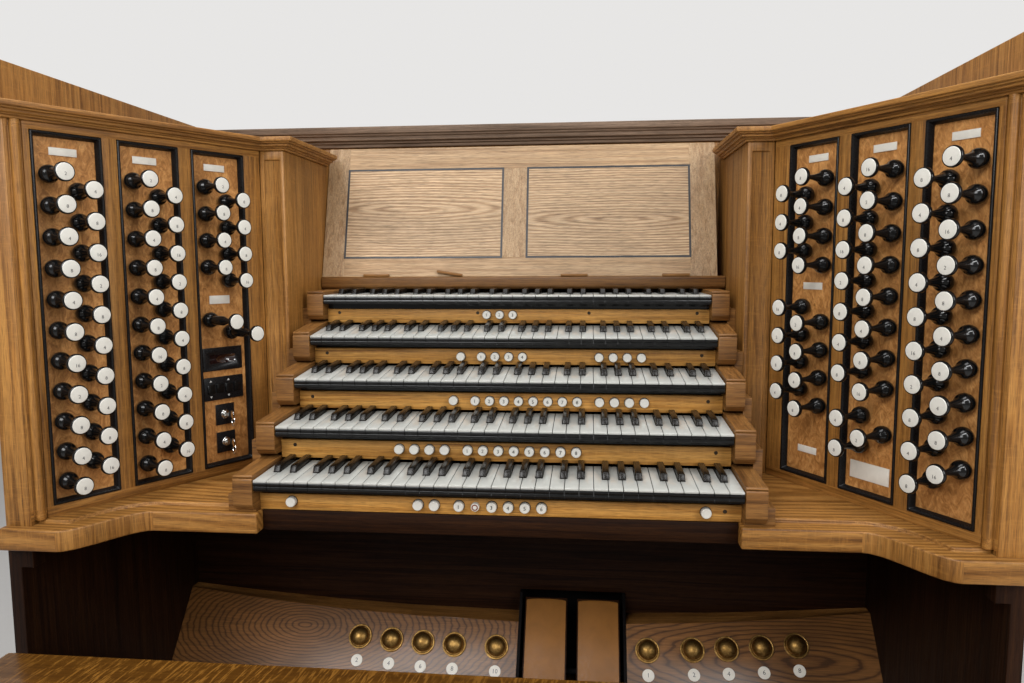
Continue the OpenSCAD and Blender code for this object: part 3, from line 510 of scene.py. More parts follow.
def applied():
    """The new object, with its place, turn and size taken up by its mesh."""
    bpy.ops.object.transform_apply(location=True, rotation=True, scale=True)
    return bpy.context.object


def closed_up():
    """Touching corners merged and every face turned outward, at the end of an edit."""
    bpy.ops.mesh.select_all(action="SELECT")
    bpy.ops.mesh.remove_doubles(threshold=TOUCHING)
    bpy.ops.mesh.normals_make_consistent(inside=False)
    mode("OBJECT")


def take_material(obj, mat):
    """One material on the whole object."""
    obj.data.materials.clear()
    obj.data.materials.append(mat)
    for face in obj.data.polygons:
        face.material_index = 0


def paint_faces(obj, mat, wanted):
    """A second material on the faces whose middle and normal answer wanted."""
    obj.data.materials.append(mat)
    index = len(obj.data.materials) - 1
    for face in obj.data.polygons:
        if wanted(face.center, face.normal):
            face.material_index = index


def settle(obj, name, mat, place=None, body="console"):
    """The last steps of every piece; place is a matrix, taken up by the mesh."""
    obj.name = name
    if place is not None:
        obj.data.transform(place)
    select_only(obj)
    bpy.ops.object.shade_smooth_by_angle(angle=SMOOTH_UNDER)
    take_material(obj, mat)
    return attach(obj, body)


def linked(name, data):
    """A new object in the scene."""
    obj = bpy.data.objects.new(name, data)
    bpy.context.collection.objects.link(obj)
    return obj


def copies(master, name, places, body="console"):
    """The master's mesh at every place, joined to one object; the master goes."""
    made = []
    for place in places:
        twin = master.copy()
        twin.data = master.data.copy()
        twin.data.transform(place)
        bpy.context.collection.objects.link(twin)
        made.append(twin)
    bpy.data.objects.remove(master)
    select_only(made[0])
    for twin in made:
        twin.select_set(True)
    if len(made) > 1:
        bpy.ops.object.join()
    made[0].name = name
    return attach(made[0], body)


# %% [markdown]
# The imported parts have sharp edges. A real joiner takes every edge off, and that thin
# rounded edge is what catches the light. Each part is copied, its loose triangles are
# merged into clean faces, and a Bevel rounds the edges before the copy takes the
# part's place. The outside of a case is also framed: sunk panels inside borders of
# stiles and rails, so that wide wood can move with the weather. A first Inset draws the
# border and a second one, with some depth, makes the slope of the moulding.

# %% Rounding helper
ROUND_OVER = math.radians(28)
WIDE_FACE = 0.08
SAME_WAY = 0.99
MERGE_UNDER = 0.00001
FLAT_WITHIN = math.radians(1)
BORDER = 75 * MM
MOULDING = 6 * MM
SUNK = 7 * MM


def merged_copy(node):
    """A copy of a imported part, its triangles merged to clean faces."""
    obj = NODES[node].copy()
    obj.data = obj.data.copy()
    obj.parent = None
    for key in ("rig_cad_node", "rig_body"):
        del obj[key]
    bpy.context.collection.objects.link(obj)
    edit_all(obj)
    bpy.ops.mesh.remove_doubles(threshold=MERGE_UNDER)
    bpy.ops.mesh.dissolve_limited(angle_limit=FLAT_WITHIN)
    mode("OBJECT")
    return obj


def cut_across(obj, point, normal):
    """The object's faces cut along a plane, so that each side can take its own grain."""
    edit_all(obj)
    bpy.ops.mesh.bisect(plane_co=point, plane_no=normal)
    mode("OBJECT")


def select_none(obj, kind):
    """Nothing selected in the object, and the kind of selection set."""
    edit_all(obj)
    bpy.ops.mesh.select_mode(type=kind)
    bpy.ops.mesh.select_all(action="DESELECT")
    mode("OBJECT")


def sunk_panels(obj, outward):
    """Every wide face that looks outward becomes a sunk panel in a border of wood."""
    select_none(obj, "FACE")
    for face in obj.data.polygons:
        face.select = face.area > WIDE_FACE and face.normal.dot(outward) > SAME_WAY
    print(obj.name, "gets", sum(face.select for face in obj.data.polygons), "sunk panels")
    mode("EDIT")
    bpy.ops.mesh.inset(thickness=BORDER, use_individual=True)
    bpy.ops.mesh.inset(thickness=MOULDING, depth=-SUNK, use_individual=True)
    mode("OBJECT")


def rounded(node, mat, radius, steps=2, cuts=(), framed=None):
    """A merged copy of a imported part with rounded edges, standing for it."""
    obj = merged_copy(node)
    if radius:
        cut = obj.modifiers.new("round", "BEVEL")
        cut.width = radius * MM
        cut.segments = steps
        cut.limit_method = "ANGLE"
        cut.angle_limit = ROUND_OVER
        select_only(obj)
        bpy.ops.object.modifier_apply(modifier="round")
    for point, normal in cuts:
        cut_across(obj, point, normal)
    if framed:
        sunk_panels(obj, framed)
    settle(obj, node + "_finished", mat, body=NODES[node]["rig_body"])
    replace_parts(obj, node)
    return obj


# %% The case, below and behind
DESK_BOTTOM = KEYS_Z - 93 * MM
NEAR_RAIL = 0.02
THIRD_X = 0.25


def paint_rails(obj, outward, mat):
    """The level strips of a frame take a grain that runs along them."""
    top = max(corner[2] for corner in obj.bound_box)
    half = BORDER / 2
    heights = (half, DESK_BOTTOM - half, DESK_BOTTOM + half, top - half)

    def on_rail(mid, normal):
        level = min(abs(mid.z - height) for height in heights) < NEAR_RAIL
        return level and normal.dot(outward) > SAME_WAY

    paint_faces(obj, mat, on_rail)


below_desk = [((0, 0, DESK_BOTTOM), LEVEL)]
thirds = [((x, 0, 0), (1, 0, 0)) for x in (-THIRD_X, THIRD_X)]
for part, side in (("left_side_wall", -1), ("right_side_wall", 1)):
    outward = Vector((side, 0, 0))
    wall = rounded(part, oak_up, 1.5, cuts=below_desk, framed=outward)
    paint_rails(wall, outward, oak_deep)

    # Faces that look into the well below the desk take the near-black oak as painted shade; outer
    # faces keep plain oak.
    def in_the_well(mid, normal):
        inward = side * normal.x < -STEEP or normal.y < -STEEP
        return mid.z < DESK_BOTTOM and inward

    paint_faces(wall, painted_shade_upright, in_the_well)
backward = Vector((0, 1, 0))
back_wall = rounded("back_wall", oak_up, 1.5, cuts=below_desk + thirds, framed=backward)
paint_rails(back_wall, backward, oak_across)
# The knee panel and the key desk under the keys take the near-black oak as painted shade.
rounded("knee_panel", painted_shade_across, 1.0)
rounded("key_desk", painted_shade_across, 1.0)
# The back cornice's greyed, darker oak is dust and painted shade.
rounded("back_cornice", dust_and_shade_oak, 2.2, 3)
rounded("left_top_shelf", oak_left, 1.0)
rounded("right_top_shelf", oak_right, 1.0)
rounded("left_cornice", oak_left, 1.4, 3)
rounded("right_cornice", oak_right, 1.4, 3)

# %% [markdown]
# A jamb is a frame: tall stiles between the stop boards, with short rails at the head
# and foot. The grain follows each member. The stop boards lie behind black mouldings.

# %% Jambs, pilasters and stop boards
PANEL_TOP = KEYS_Z + 570.5 * MM
PANEL_FOOT = KEYS_Z - 34.5 * MM
at_head = ((0, 0, PANEL_TOP), LEVEL)
at_foot = ((0, 0, PANEL_FOOT), LEVEL)
for hand, jamb_oak in (("left", oak_left), ("right", oak_right)):
    jamb = rounded(hand + "_jamb_frame", oak_up, 1.8, 3, cuts=(at_head, at_foot))
    paint_faces(jamb, jamb_oak, lambda mid, normal: not PANEL_FOOT < mid.z < PANEL_TOP)
    rounded(hand + "_pilaster", oak_up, 1.5)
    rounded(hand + "_stop_boards", burr_veneer, 0)
    rounded(hand + "_board_beads", bead_black, 1.8, 3)
rounded("label_plates", plate_ivory, 0.3)

# %% [markdown]
# Each wing of the desk is a board with an S-curve. On the curve the saw has cut across
# the grain, so its edge shows short upright streaks in place of long lines.

# %% Desk wings
CURVE_FROM = 575 * MM
CURVE_TO = 690 * MM


def on_curve(mid, normal):
    """Whether a face belongs to the S-curve's upright edge."""
    return CURVE_FROM < abs(mid.x) < CURVE_TO and abs(normal.z) < STEEP


for hand in ("left", "right"):
    wing = rounded(hand + "_desk_wing", oak_across, 4.0, 3)
    paint_faces(wing, oak_up, on_curve)

# %% [markdown]
# Between the jambs lies the well of keys and pedals. A narrow groove, a quirk, runs
# under the cap of each cheek block. The toe board's wide faces are shaded flat, because
# smooth shading would draw long streaks across their corners.

# %% The well: cheeks, rails and foot parts
QUIRK_UP = 2.6
QUIRK_CUTS = (-2.4, 0, 1.1)
QUIRK_DEEP = 3.5
CAP_REACH = 8
NEAR_GROOVE = 0.2 * MM
FRONT_FACE = 0.6
LIT_TOP_FACE = 0.72
FLAT_OVER = 0.01


def cut_quirks(obj):
    """A narrow groove under the rounded cap of each cheek block, on its front only."""
    for number in range(5):
        front = datum(0, FRONT_Y[number], TOP_Z[number] + QUIRK_UP)
        for shift in QUIRK_CUTS:
            cut_across(obj, front + Vector((0, 0, shift * MM)), LEVEL)
        select_none(obj, "VERT")
        for vertex in obj.data.vertices:
            level = abs(vertex.co.z - front.z) < NEAR_GROOVE
            vertex.select = level and vertex.co.y < front.y + CAP_REACH * MM
        mode("EDIT")
        bpy.ops.transform.translate(value=(0, QUIRK_DEEP * MM, 0))
        bpy.ops.mesh.select_mode(type="FACE")
        mode("OBJECT")


for hand in ("left", "right"):
    cheeks = rounded(hand + "_key_cheeks", brown_oak, 1.8)
    cut_quirks(cheeks)
    paint_faces(cheeks, ledge_oak, lambda mid, normal: abs(normal.y) > FRONT_FACE)
toe_board = rounded("toe_board", toe_oak, 1.6)
for face in toe_board.data.polygons:
    face.use_smooth = face.area < FLAT_OVER
# Its upward faces take a lighter brown oak as painted light: a lit shelf and a bright lip.
paint_faces(toe_board, ledge_oak, lambda mid, normal: normal.z > LIT_TOP_FACE)
# The pedal frame takes the near-black oak as painted shade.
for part, finish, radius in (
    # The music ledge's darker oak is painted shade.
    ("piston_rails", rail_oak, 0.6), ("music_ledge", music_ledge_shade_oak, 3.0),
    # The swell box's near-black is painted shade in its recess.
    ("swell_box", recess_black, 0), ("pedal_frame", painted_shade_across, 1.0),
    ("pedal_naturals", pedal_maple, 2.5), ("pedal_sharps", ebony, 2.0),
    ("bench_seat", bench_oak, 5.0), ("bench_frame", bench_oak, 2.0),
):
    rounded(part, finish, radius)

# %% Key tops and sharps
for number in range(1, 6):
    rounded("manual_%d_naturals" % number, key_white, 0.5)
    rounded("manual_%d_sharps" % number, ebony, 1.5, 3)
rounded("key_frames", key_black, 0)

# %% [markdown]
# Turned pieces are made as on a lathe. A disc is drawn at the foot of the profile, then
# raised and widened ring by ring. The last ring stays as a small flat end, so that the
# shape is closed at both ends.

# %% Turning helper
SIDES = 24


def turned(profile):
    """A closed solid turned about the local z axis, from (radius, height) in millimetres."""
    radius, height = profile[0]
    bpy.ops.mesh.primitive_circle_add(
        vertices=SIDES, radius=radius * MM, fill_type="NGON", location=(0, 0, height * MM)
    )
    mode("EDIT")
    for wider, higher in profile[1:]:
        raised(higher - height)
        grow = wider / radius
        bpy.ops.transform.resize(value=(grow, grow, 1), center_override=(0, 0, higher * MM))
        radius, height = wider, higher
    closed_up()
    return applied()


def arc(centre_r, centre_z, radius_r, radius_z, first, last, count):
    """Points of an arc for a profile, angles in degrees from the outward direction."""
    points = []
    for k in range(count + 1):
        angle = math.radians(first + (last - first) * k / count)
        out, up = radius_r * math.cos(angle), radius_z * math.sin(angle)
        points.append((centre_r + out, centre_z + up))
    return points


# %% [markdown]
# A stop knob has three parts: a domed bush fixed to the board, a tapered neck, and a
# flared head that holds an ivory disc. One is turned and copied to every place. The
# rows are filled as in the photograph, in two staggered columns to a board.

# %% Stop knobs
FULL = (range(1, 20, 2), range(0, 21, 2))
LEFT_ROWS = (((1, 3, 5, 7), (0, 2, 4, 6)), FULL, FULL)
RIGHT_ROWS = (
    ((1, 3, 5, 9, 11, 13, 15), (0, 2, 4, 6, 10, 12, 14, 16)),
    ((1, 3, 5, 7, 9, 11, 13, 16, 18), (0, 2, 4, 6, 8, 10, 12, 14, 17)),
    (range(1, 20, 2), range(0, 19, 2)),
)
BUSH = arc(0, 13, 15, 15, -60, 45, 9)
TAPER = [(9.0, 26), (7.9, 29), (6.7, 33), (5.6, 37.5), (4.7, 42), (4.2, 46)]
FLARE = [(4.2, 52.5), (5.2, 56.5), (8.0, 60.2), (12.2, 62.8), (15.0, 64.2), (15.5, 65.2)]
HEAD = TAPER + FLARE + [(15.5, 68), (14.9, 69.6), (13.9, 70)]
FACE = [(13.4, 69), (13.4, 70.2), (12.8, 70.8), (9, 71.2), (3, 71.4)]


def knob_places(side):
    """Where the closed knobs of a side stand."""
    places = []
    for panel, columns in enumerate(LEFT_ROWS if side < 0 else RIGHT_ROWS):
        for column, rows in zip(COLUMNS, columns):
            places += [on_board(side, panel, column, TOP_ROW - row * ROW_DROP) for row in rows]
    return places


def turned_pieces(name, profile, mat, places, body="console"):
    """One turned shape at all the places it is wanted."""
    master = settle(turned(profile), name + "_one", mat)
    return copies(master, name, places, body)


for side, hand in ((-1, "left"), (1, "right")):
    places = knob_places(side)
    knobs = turned_pieces(hand + "_knob_turnings", BUSH + HEAD, knob_black, places)
    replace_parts(knobs, hand + "_stop_knobs")
    turned_pieces(hand + "_knob_faces", FACE, ivory, places)
    print(hand, "knobs:", len(places))

# %% [markdown]
# Two couplers can be drawn. Their bushes stay on the board, bored right through, and the
# knob slides 28 mm in them, so head, neck and shank ride on a body of their own.

# %% Drawn couplers
DRAW = 28
BORE = [(9.4, -6), (9.4, 32)]


def bored(obj, place):
    """A hole right through the object, cut with a plain rod."""
    rod = turned(BORE)
    rod.data.transform(place)
    cut = obj.modifiers.new("bore", "BOOLEAN")
    cut.operation = "DIFFERENCE"
    cut.object = rod
    select_only(obj)
    bpy.ops.object.modifier_apply(modifier="bore")
    bpy.ops.object.shade_smooth_by_angle(angle=SMOOTH_UNDER)
    bpy.data.objects.remove(rod)


for name, column, row in (("upper", COLUMNS[1], 10), ("lower", COLUMNS[0], 11)):
    seat = on_board(-1, 0, column, TOP_ROW - row * ROW_DROP)
    drawn = seat @ moved(0, 0, DRAW)
    bored(turned_pieces(name + "_coupler_bush", BUSH, knob_black, [seat]), seat)
    body = name + "_coupler"
    stem = turned_pieces(body + "_stem", [(9.0, -14)] + HEAD, knob_black, [drawn], body)
    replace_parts(stem, body + "_knob")
    turned_pieces(body + "_face", FACE, ivory, [drawn], body)

# %% [markdown]
# A stop's number tells the length of its longest pipe in feet: 8 is normal pitch, 4 and
# 2 are higher, 16 is lower. Only such plain numbers are printed here. Each number is
# text made into a mesh, then set on the ivory.

# %% Printed numbers
TYPE_THICK = 0.15
TYPE_SIZE = 1.4


def printed(text, height):
    """A number as a thin flat mesh, centred, height in millimetres."""
    bpy.ops.object.text_add()
    obj = bpy.context.object
    obj.data.body = text
    obj.data.size = height * MM * TYPE_SIZE
    obj.data.resolution_u = 2
    obj.data.align_x = "CENTER"
    obj.data.align_y = "CENTER"
    obj.data.extrude = TYPE_THICK * MM / 2
    bpy.ops.object.convert(target="MESH")
    return bpy.context.object


FEET = ("8", "4", "8", "16", "2", "8", "4")
FACE_FRONT = 71.4
FEET_DOWN = 3.5
FEET_TALL = 5.5
for side, hand in ((-1, "left"), (1, "right")):
    places = knob_places(side)
    for feet in sorted(set(FEET)):
        chosen = [p for k, p in enumerate(places) if FEET[k % len(FEET)] == feet]
        number = settle(printed(feet, FEET_TALL), "number_one", print_black)
        lift = moved(0, -FEET_DOWN, FACE_FRONT)
        copies(number, hand + "_knob_numbers_" + feet, [p @ lift for p in chosen])
print("numbers printed on the knobs")

# %% [markdown]
# The front of each key is a black moulding of two rolls under the white edge. Its
# section is drawn once as a flat outline, given the width of one key, and repeated for
# every key of every manual, with the same thin gaps as between the keys.

# %% Key fronts
def sawn(outline, depth, edge=0.0):
    """A board sawn to an outline in its local x and y, in millimetres, and depth thick."""
    curve = bpy.data.curves.new("outline", "CURVE")
    curve.dimensions = "2D"
    curve.fill_mode = "BOTH"
    curve.extrude = (depth / 2 - edge) * MM
    curve.bevel_depth = edge * MM
    curve.bevel_resolution = 1
    curve.offset = -edge * MM
    line = curve.splines.new("POLY")
    line.points.add(len(outline) - 1)
    for point, (x, y) in zip(line.points, outline):
        point.co = (x * MM, y * MM, 0, 1)
    line.use_cyclic_u = True
    select_only(linked("sawn", curve))
    bpy.ops.object.convert(target="MESH")
    obj = bpy.context.object
    edit_all(obj)
    closed_up()
    return obj


def roll(top, tall, out, inner):
    """Half a circle of a moulding, from its upper quirk to its lower one."""
    points = []
    for angle in range(0, 181, 30):
        turn = math.radians(angle)
        depth = inner - (inner - out) * math.sin(turn)
        points.append((depth, top - tall / 2 + tall / 2 * math.cos(turn)))
    return points


PITCH = 165 / 7
NATURALS = 34
KEY_GAP = 1.2
KEY_W = PITCH - KEY_GAP
ACROSS = Matrix(((0, 0, 1, 0), (1, 0, 0, 0), (0, 1, 0, 0), (0, 0, 0, 1)))
FRONT_FOOT = [(1.4, -18.6), (12, -18.6), (12, -3.6)]
FRONT_OUTLINE = roll(-3.6, 6.2, -0.3, 1.3) + roll(-10.2, 7.6, -0.3, 1.3) + FRONT_FOOT
front_places = []
for number in range(5):
    for k in range(NATURALS):
        middle = (k - NATURALS / 2 + 0.5) * PITCH
        front_places.append(on_manual(number) @ moved(middle, 0, 0) @ ACROSS)
front = settle(sawn(FRONT_OUTLINE, KEY_W), "key_front_one", key_black)
copies(front, "key_fronts", front_places)
print("key fronts:", len(front_places))

# %% [markdown]
# Thumb pistons are short ivory buttons in the rails under the keys. The numbered ones
# recall stored settings, so they carry plain numbers. One is narrower, with a copper
# ring let into its face. Small dark screws hold the rails.

# %% Thumb pistons and rail screws
PISTON_DROP = 42.5
PISTON_STEP = 27.5
DIVISION_X = -57.5
COUPLER_X = -99
GENERAL_X = 176.5
SETTER_X = 345
RAIL_BACK = 30
BUTTON_LONG = 10
DIGIT_TALL = 6.5


def piston_run(first, count):
    """A run of pistons at the usual distance."""
    return [first + k * PISTON_STEP for k in range(count)]


NUMBERED = (6, 8, 8, 4, 3)
GENERAL_ROW = [COUPLER_X] + piston_run(GENERAL_X, 4)
BARE = (
    [-SETTER_X, COUPLER_X - PISTON_STEP, COUPLER_X, SETTER_X],
    piston_run(COUPLER_X - 3 * PISTON_STEP, 4),
    GENERAL_ROW, GENERAL_ROW, [],
)
BUTTON = [(8.3, -1), (8.5, 1), (8.5, 8.4), (8.1, 9.4), (7.2, 10), (5.5, 9.8), (2, 9.6)]
# A thin black ring round each piston is a painted shadow, the dark outline where the button enters
# its rail.
SHADOW_COLLAR = [(9.6, -1), (9.6, 0.3), (9.2, 0.5), (4, 0.5)]
SCREW = [(3.4, -1), (3.4, 0.1), (2.8, 0.5), (1.2, 0.4)]
RINGED = [(6.8, -1), (7, 1), (7, 8.4), (6.6, 9.4), (5.5, 9.8), (2, 9.6)]
COPPER_EYE = [(5.4, 9.1), (5.3, 10), (3.4, 10), (3.3, 9.5)]
SCREW_X = ((375.5,), (-376, 375.5), (-376, 375.5), (-376, 375.5), (-376, -77, 156.5, 377))
SCREW_Z = (-41, -39, -39, -37.5, -38.5)
pistons, screws, digits = [], [], {}
for number in range(5):
    y = FRONT_Y[number] + RAIL_BACK
    z = TOP_Z[number] - PISTON_DROP
    row = piston_run(DIVISION_X, NUMBERED[number])
    if number == 0:
        ringed = [facing(row.pop(1), y, z)]
    pistons += [facing(x, y, z) for x in row + BARE[number]]
    for x in row:
        digit = round((x - DIVISION_X) / PISTON_STEP) + 1
        digits.setdefault(str(digit), []).append(facing(x, y - BUTTON_LONG, z))
    screws += [facing(x, y, TOP_Z[number] + SCREW_Z[number]) for x in SCREW_X[number]]
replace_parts(turned_pieces("piston_buttons", BUTTON, ivory, pistons), "thumb_pistons")
# The black collars round the buttons are painted shadow.
turned_pieces("piston_shadow_collars", SHADOW_COLLAR, bead_black, pistons)
turned_pieces("ringed_piston", RINGED, ivory, ringed)
turned_pieces("piston_ring", COPPER_EYE, copper_ring, ringed)
turned_pieces("rail_screws", SCREW, screw_dark, screws)
for digit, places in digits.items():
    number = settle(printed(digit, DIGIT_TALL), "digit_one", print_black)
    copies(number, "piston_numbers_" + digit, places)
print("pistons:", len(pistons), "screws:", len(screws))

# %% [markdown]
# The music desk is framed like a door: stiles at the ends and in the middle, rails
# above and below, two panels between them. A black line is let in around each panel.
# It leans back, so its boards are made lying flat and then tipped up on the ledge.

# %% Music desk
DESK_RISE, DESK_RUN = 296, 80
DESK_SLOPE = math.degrees(math.atan2(DESK_RISE, DESK_RUN))
DESK_FOOT = datum(0, 506, 329)
DESK_PLACE = Matrix.Translation(DESK_FOOT) @ spun(DESK_SLOPE, "X")
DESK_T = 19.3
DESK_TALL = 306.6
LINE_LOW, LINE_HIGH = 44.5, 253.5
LEFT_END, RIGHT_END = -449.5, 433.5
LEFT_LINES = (-399.5, -40.0)
RIGHT_LINES = (17.0, 376.5)
LINE_WIDE = 4.6
INLAY = (-1.0, 0.12)


def board(name, width, height, depth, mat, place, edge=0.35, steps=1):
    """An eased board from its low and high width, height and depth in millimetres."""
    spans = (width, height, depth)
    middle = Vector([(low + high) / 2 for low, high in spans]) * MM
    size = Vector([high - low for low, high in spans]) * MM
    bpy.ops.mesh.primitive_cube_add(size=1, location=middle, scale=size)
    obj = applied()
    edit_all(obj)
    bpy.ops.mesh.bevel(offset=edge * MM, segments=steps, affect="EDGES")
    mode("OBJECT")
    return settle(obj, name, mat, place)


def line_frame(name, width):
    """A flat closed band on the outline of a panel, as wide as the black line."""
    bottom, top = INLAY
    middle = Vector((sum(width) / 2, (LINE_LOW + LINE_HIGH) / 2, bottom)) * MM
    size = Vector((width[1] - width[0] + LINE_WIDE, LINE_HIGH - LINE_LOW + LINE_WIDE, 1)) * MM
    bpy.ops.mesh.primitive_plane_add(size=1, location=middle)
    bpy.context.object.scale = size
    obj = applied()
    edit_all(obj)
    bpy.ops.mesh.inset(thickness=LINE_WIDE * MM)
    bpy.ops.mesh.delete(type="FACE")
    bpy.ops.mesh.select_all(action="SELECT")
    raised(top - bottom)
    closed_up()
    settle(obj, name, inlay_black, DESK_PLACE)


BETWEEN_LINES = (LINE_LOW, LINE_HIGH)
for name, width, height, mat in (
    ("left_stile", (LEFT_END, LEFT_LINES[0]), (0, DESK_TALL), desk_stile_oak),
    ("right_stile", (RIGHT_LINES[1], RIGHT_END), (0, DESK_TALL), desk_stile_oak),
    ("foot_rail", (LEFT_LINES[0], RIGHT_LINES[1]), (0, LINE_LOW), desk_rail_oak),
    ("head_rail", (LEFT_LINES[0], RIGHT_LINES[1]), (LINE_HIGH, DESK_TALL), desk_rail_oak),
    ("middle_stile", (LEFT_LINES[1], RIGHT_LINES[0]), BETWEEN_LINES, desk_stile_oak),
    ("left_panel", LEFT_LINES, BETWEEN_LINES, panel_left),
    ("right_panel", RIGHT_LINES, BETWEEN_LINES, panel_right),
):
    made = board("music_desk_" + name, width, height, (-DESK_T, 0), mat, DESK_PLACE)
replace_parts(made, "music_desk")
for hand, width in (("left", LEFT_LINES), ("right", RIGHT_LINES)):
    line_frame(hand + "_inlay", width)

# %% Page clips on the ledge
CLIP_Y = 502
CLIP_Z = 332
CLIPS = ((-352, -293, 0), (-184, -126, -9), (94, 153, 0), (315, 374, 0))
for index, (left, right, swing) in enumerate(CLIPS, 1):
    half = (right - left) / 2
    swung = moved(half, 0, 0) @ spun(swing, "Z") @ moved(-half, 0, 0)
    place = facing((left + right) / 2, CLIP_Y, CLIP_Z) @ swung
    board("page_clip_%d" % index, (-half, half), (-3, 3), (-4, 3), ledge_oak, place, 1.2, 2)
print("music desk framed, clips:", len(CLIPS))

# %% [markdown]
# The controls on the innermost left board are a small display, a row of four rockers,
# two of them marked with arrows, and two key switches on black plates.

# %% Display and rockers
LABEL_S = 58.5 * MM
DISPLAY_ROW, ROCKER_ROW = 13.1, 15.4
CONTROL_W = (-42, 42)
CONTROL_H = (-22.5, 22.5)
CONTROL_T = (0, 4)
WINDOW_RIM = 13
SINK = 2.5


def low_board_place(row):
    """A place on the innermost left board at that row of knobs."""
    return on_board(-1, 0, LABEL_S, TOP_ROW - row * ROW_DROP)


def sunk_window(obj):
    """The large front face of a flat board inset and sunk, as a dark window."""
    facing_out = max(obj.data.polygons, key=lambda face: face.area * face.normal.z)
    for face in obj.data.polygons:
        face.select = face == facing_out
    select_only(obj)
    mode("EDIT")
    bpy.ops.mesh.inset(thickness=WINDOW_RIM * MM)
    raised(-SINK)
    mode("OBJECT")
    obj.data.materials.append(window_dark)
    for face in obj.data.polygons:
        if face.select:
            face.material_index = 1


FLAT = Matrix.Identity(4)
display = board("display_plate", CONTROL_W, CONTROL_H, CONTROL_T, control_black, FLAT, 0.8, 2)
sunk_window(display)
display.data.transform(low_board_place(DISPLAY_ROW))
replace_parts(display, "control_panels")
rocker_place = low_board_place(ROCKER_ROW)
board("rocker_plate", CONTROL_W, CONTROL_H, CONTROL_T, control_black, rocker_place, 0.8, 2)
ROCKER_STEP = 19
ROCKERS = 4
ROCKER = ((-7.5, 7.5), (-9, 9), (-2, 1.6))
ROCKER_OUT = 5
PRESSED = (-4, 5)
MARK_Y = 15.5
MARK_OUT = 4.1
ARROW = ((-2.6, -1.8), (2.6, -1.8), (0, 2.2))
arrow_places = []
for k in range(ROCKERS):
    x = (k - (ROCKERS - 1) / 2) * ROCKER_STEP
    spot = rocker_place @ moved(x, 0, ROCKER_OUT) @ spun(PRESSED[k % 2], "X")
    board("rocker_%d" % (k + 1), *ROCKER, key_black, spot, 1.2, 2)
    if k % 2 == 0:
        for y, turn in ((MARK_Y, 0), (-MARK_Y, 180)):
            arrow_places.append(rocker_place @ moved(x, y, MARK_OUT) @ spun(turn, "Z"))
copies(settle(sawn(ARROW, 0.2), "arrow_one", mark_white), "rocker_arrows", arrow_places)

# %% [markdown]
# Each switch is a cam lock: a bright barrel in a square black plate, with a flat key in
# it and a wire ring through the key's bow.

# %% Key switches
LOCK_ROWS = (17.5, 19.7)
BARREL = [(9.0, 2.5), (9.0, 4.2), (8.4, 5.0), (7.0, 5.2), (6.7, 8.4), (6.2, 9.0), (2.5, 8.8)]
KEY_OUTLINE = [(0, -2.6)] + arc(17, 0, 9, 9, -150, 150, 10) + [(0, 2.6)]
KEY_T = 2.4
KEY_EDGE = 0.4
PLATE = (-20.5, 20.5)


def wire_ring(radius, wire):
    """A ring of round wire about the local z axis, spun from a small circle."""
    upright = (math.radians(90), 0, 0)
    bpy.ops.mesh.primitive_circle_add(
        vertices=8, radius=wire * MM, location=(radius * MM, 0, 0), rotation=upright
    )
    obj = applied()
    edit_all(obj)
    bpy.ops.mesh.spin(steps=28, angle=math.tau, center=(0, 0, 0), axis=(0, 0, 1))
    closed_up()
    return obj


for index, row in enumerate(LOCK_ROWS, 1):
    lock = low_board_place(row)
    label = "lock_%d" % index
    plate = board(label + "_plate", PLATE, PLATE, (0, 3), control_black, FLAT, 0.5, 2)
    paint_faces(plate, steel, lambda mid, normal: abs(normal.z) < 0.8)
    plate.data.transform(lock)
    turned_pieces(label + "_barrel", BARREL, steel, [lock])
    upright = moved(0, 0, 8) @ spun(-90, "Y")
    settle(sawn(KEY_OUTLINE, KEY_T, KEY_EDGE), label + "_key", steel, lock @ upright)
    hang = moved(1.5, -11, 27) @ spun(70, "Y")
    settle(wire_ring(11, 0.8), label + "_ring", steel, lock @ hang)
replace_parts(plate, "key_switches")

# %% [markdown]
# Below the keys, brass toe pistons stand on the sloping board in raised rings, each
# with a numbered disc under it. Beside them two wide treads work the swell shutters.

# %% Toe pistons and their numbers
STUD_X = (-340, -269, -199, -130, -38, 284, 378, 449, 521, 593)
STUD_NUMBERS = ("2", "4", "6", "8", "10", "1", "2", "4", "6", "8")
TOP_CURVE = 5977.0
TOE_TOP = -29.5
STUD_UNDER = 54.5
NUMBER_UNDER = 49.5
RING_OUT = [(26, 0), (26, 2.8), (25.5, 3.6), (24.6, 3.9)]
RING_IN = [(22.4, 3.5), (21.3, 2.6), (21, 1.8), (20, 1.8)]
STUD = RING_OUT + RING_IN + arc(0, 6, 20, 15, 0, 80, 8)
DISC_TOP = 2
DISC = [(12.5, -1), (12.5, 1.6), (12.1, DISC_TOP), (4, DISC_TOP)]
TOE_DIGIT_TALL = 9


def stud_v(x):
    """Height of a toe piston on the board's slope, which follows the curved top edge."""
    return TOE_TOP + TOP_CURVE - math.sqrt(TOP_CURVE ** 2 - x * x) - STUD_UNDER


stud_places = [on_toe_board(x, stud_v(x), 0) for x in STUD_X]
disc_places = [on_toe_board(x, stud_v(x) - NUMBER_UNDER, 0) for x in STUD_X]
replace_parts(turned_pieces("toe_domes", STUD, brass, stud_places), "toe_pistons")
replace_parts(turned_pieces("toe_discs", DISC, plate_ivory, disc_places), "toe_numbers")
for index, text in enumerate(STUD_NUMBERS):
    place = disc_places[index] @ moved(0, 0, DISC_TOP)
    settle(printed(text, TOE_DIGIT_TALL), "toe_number_%d" % (index + 1), print_black, place)

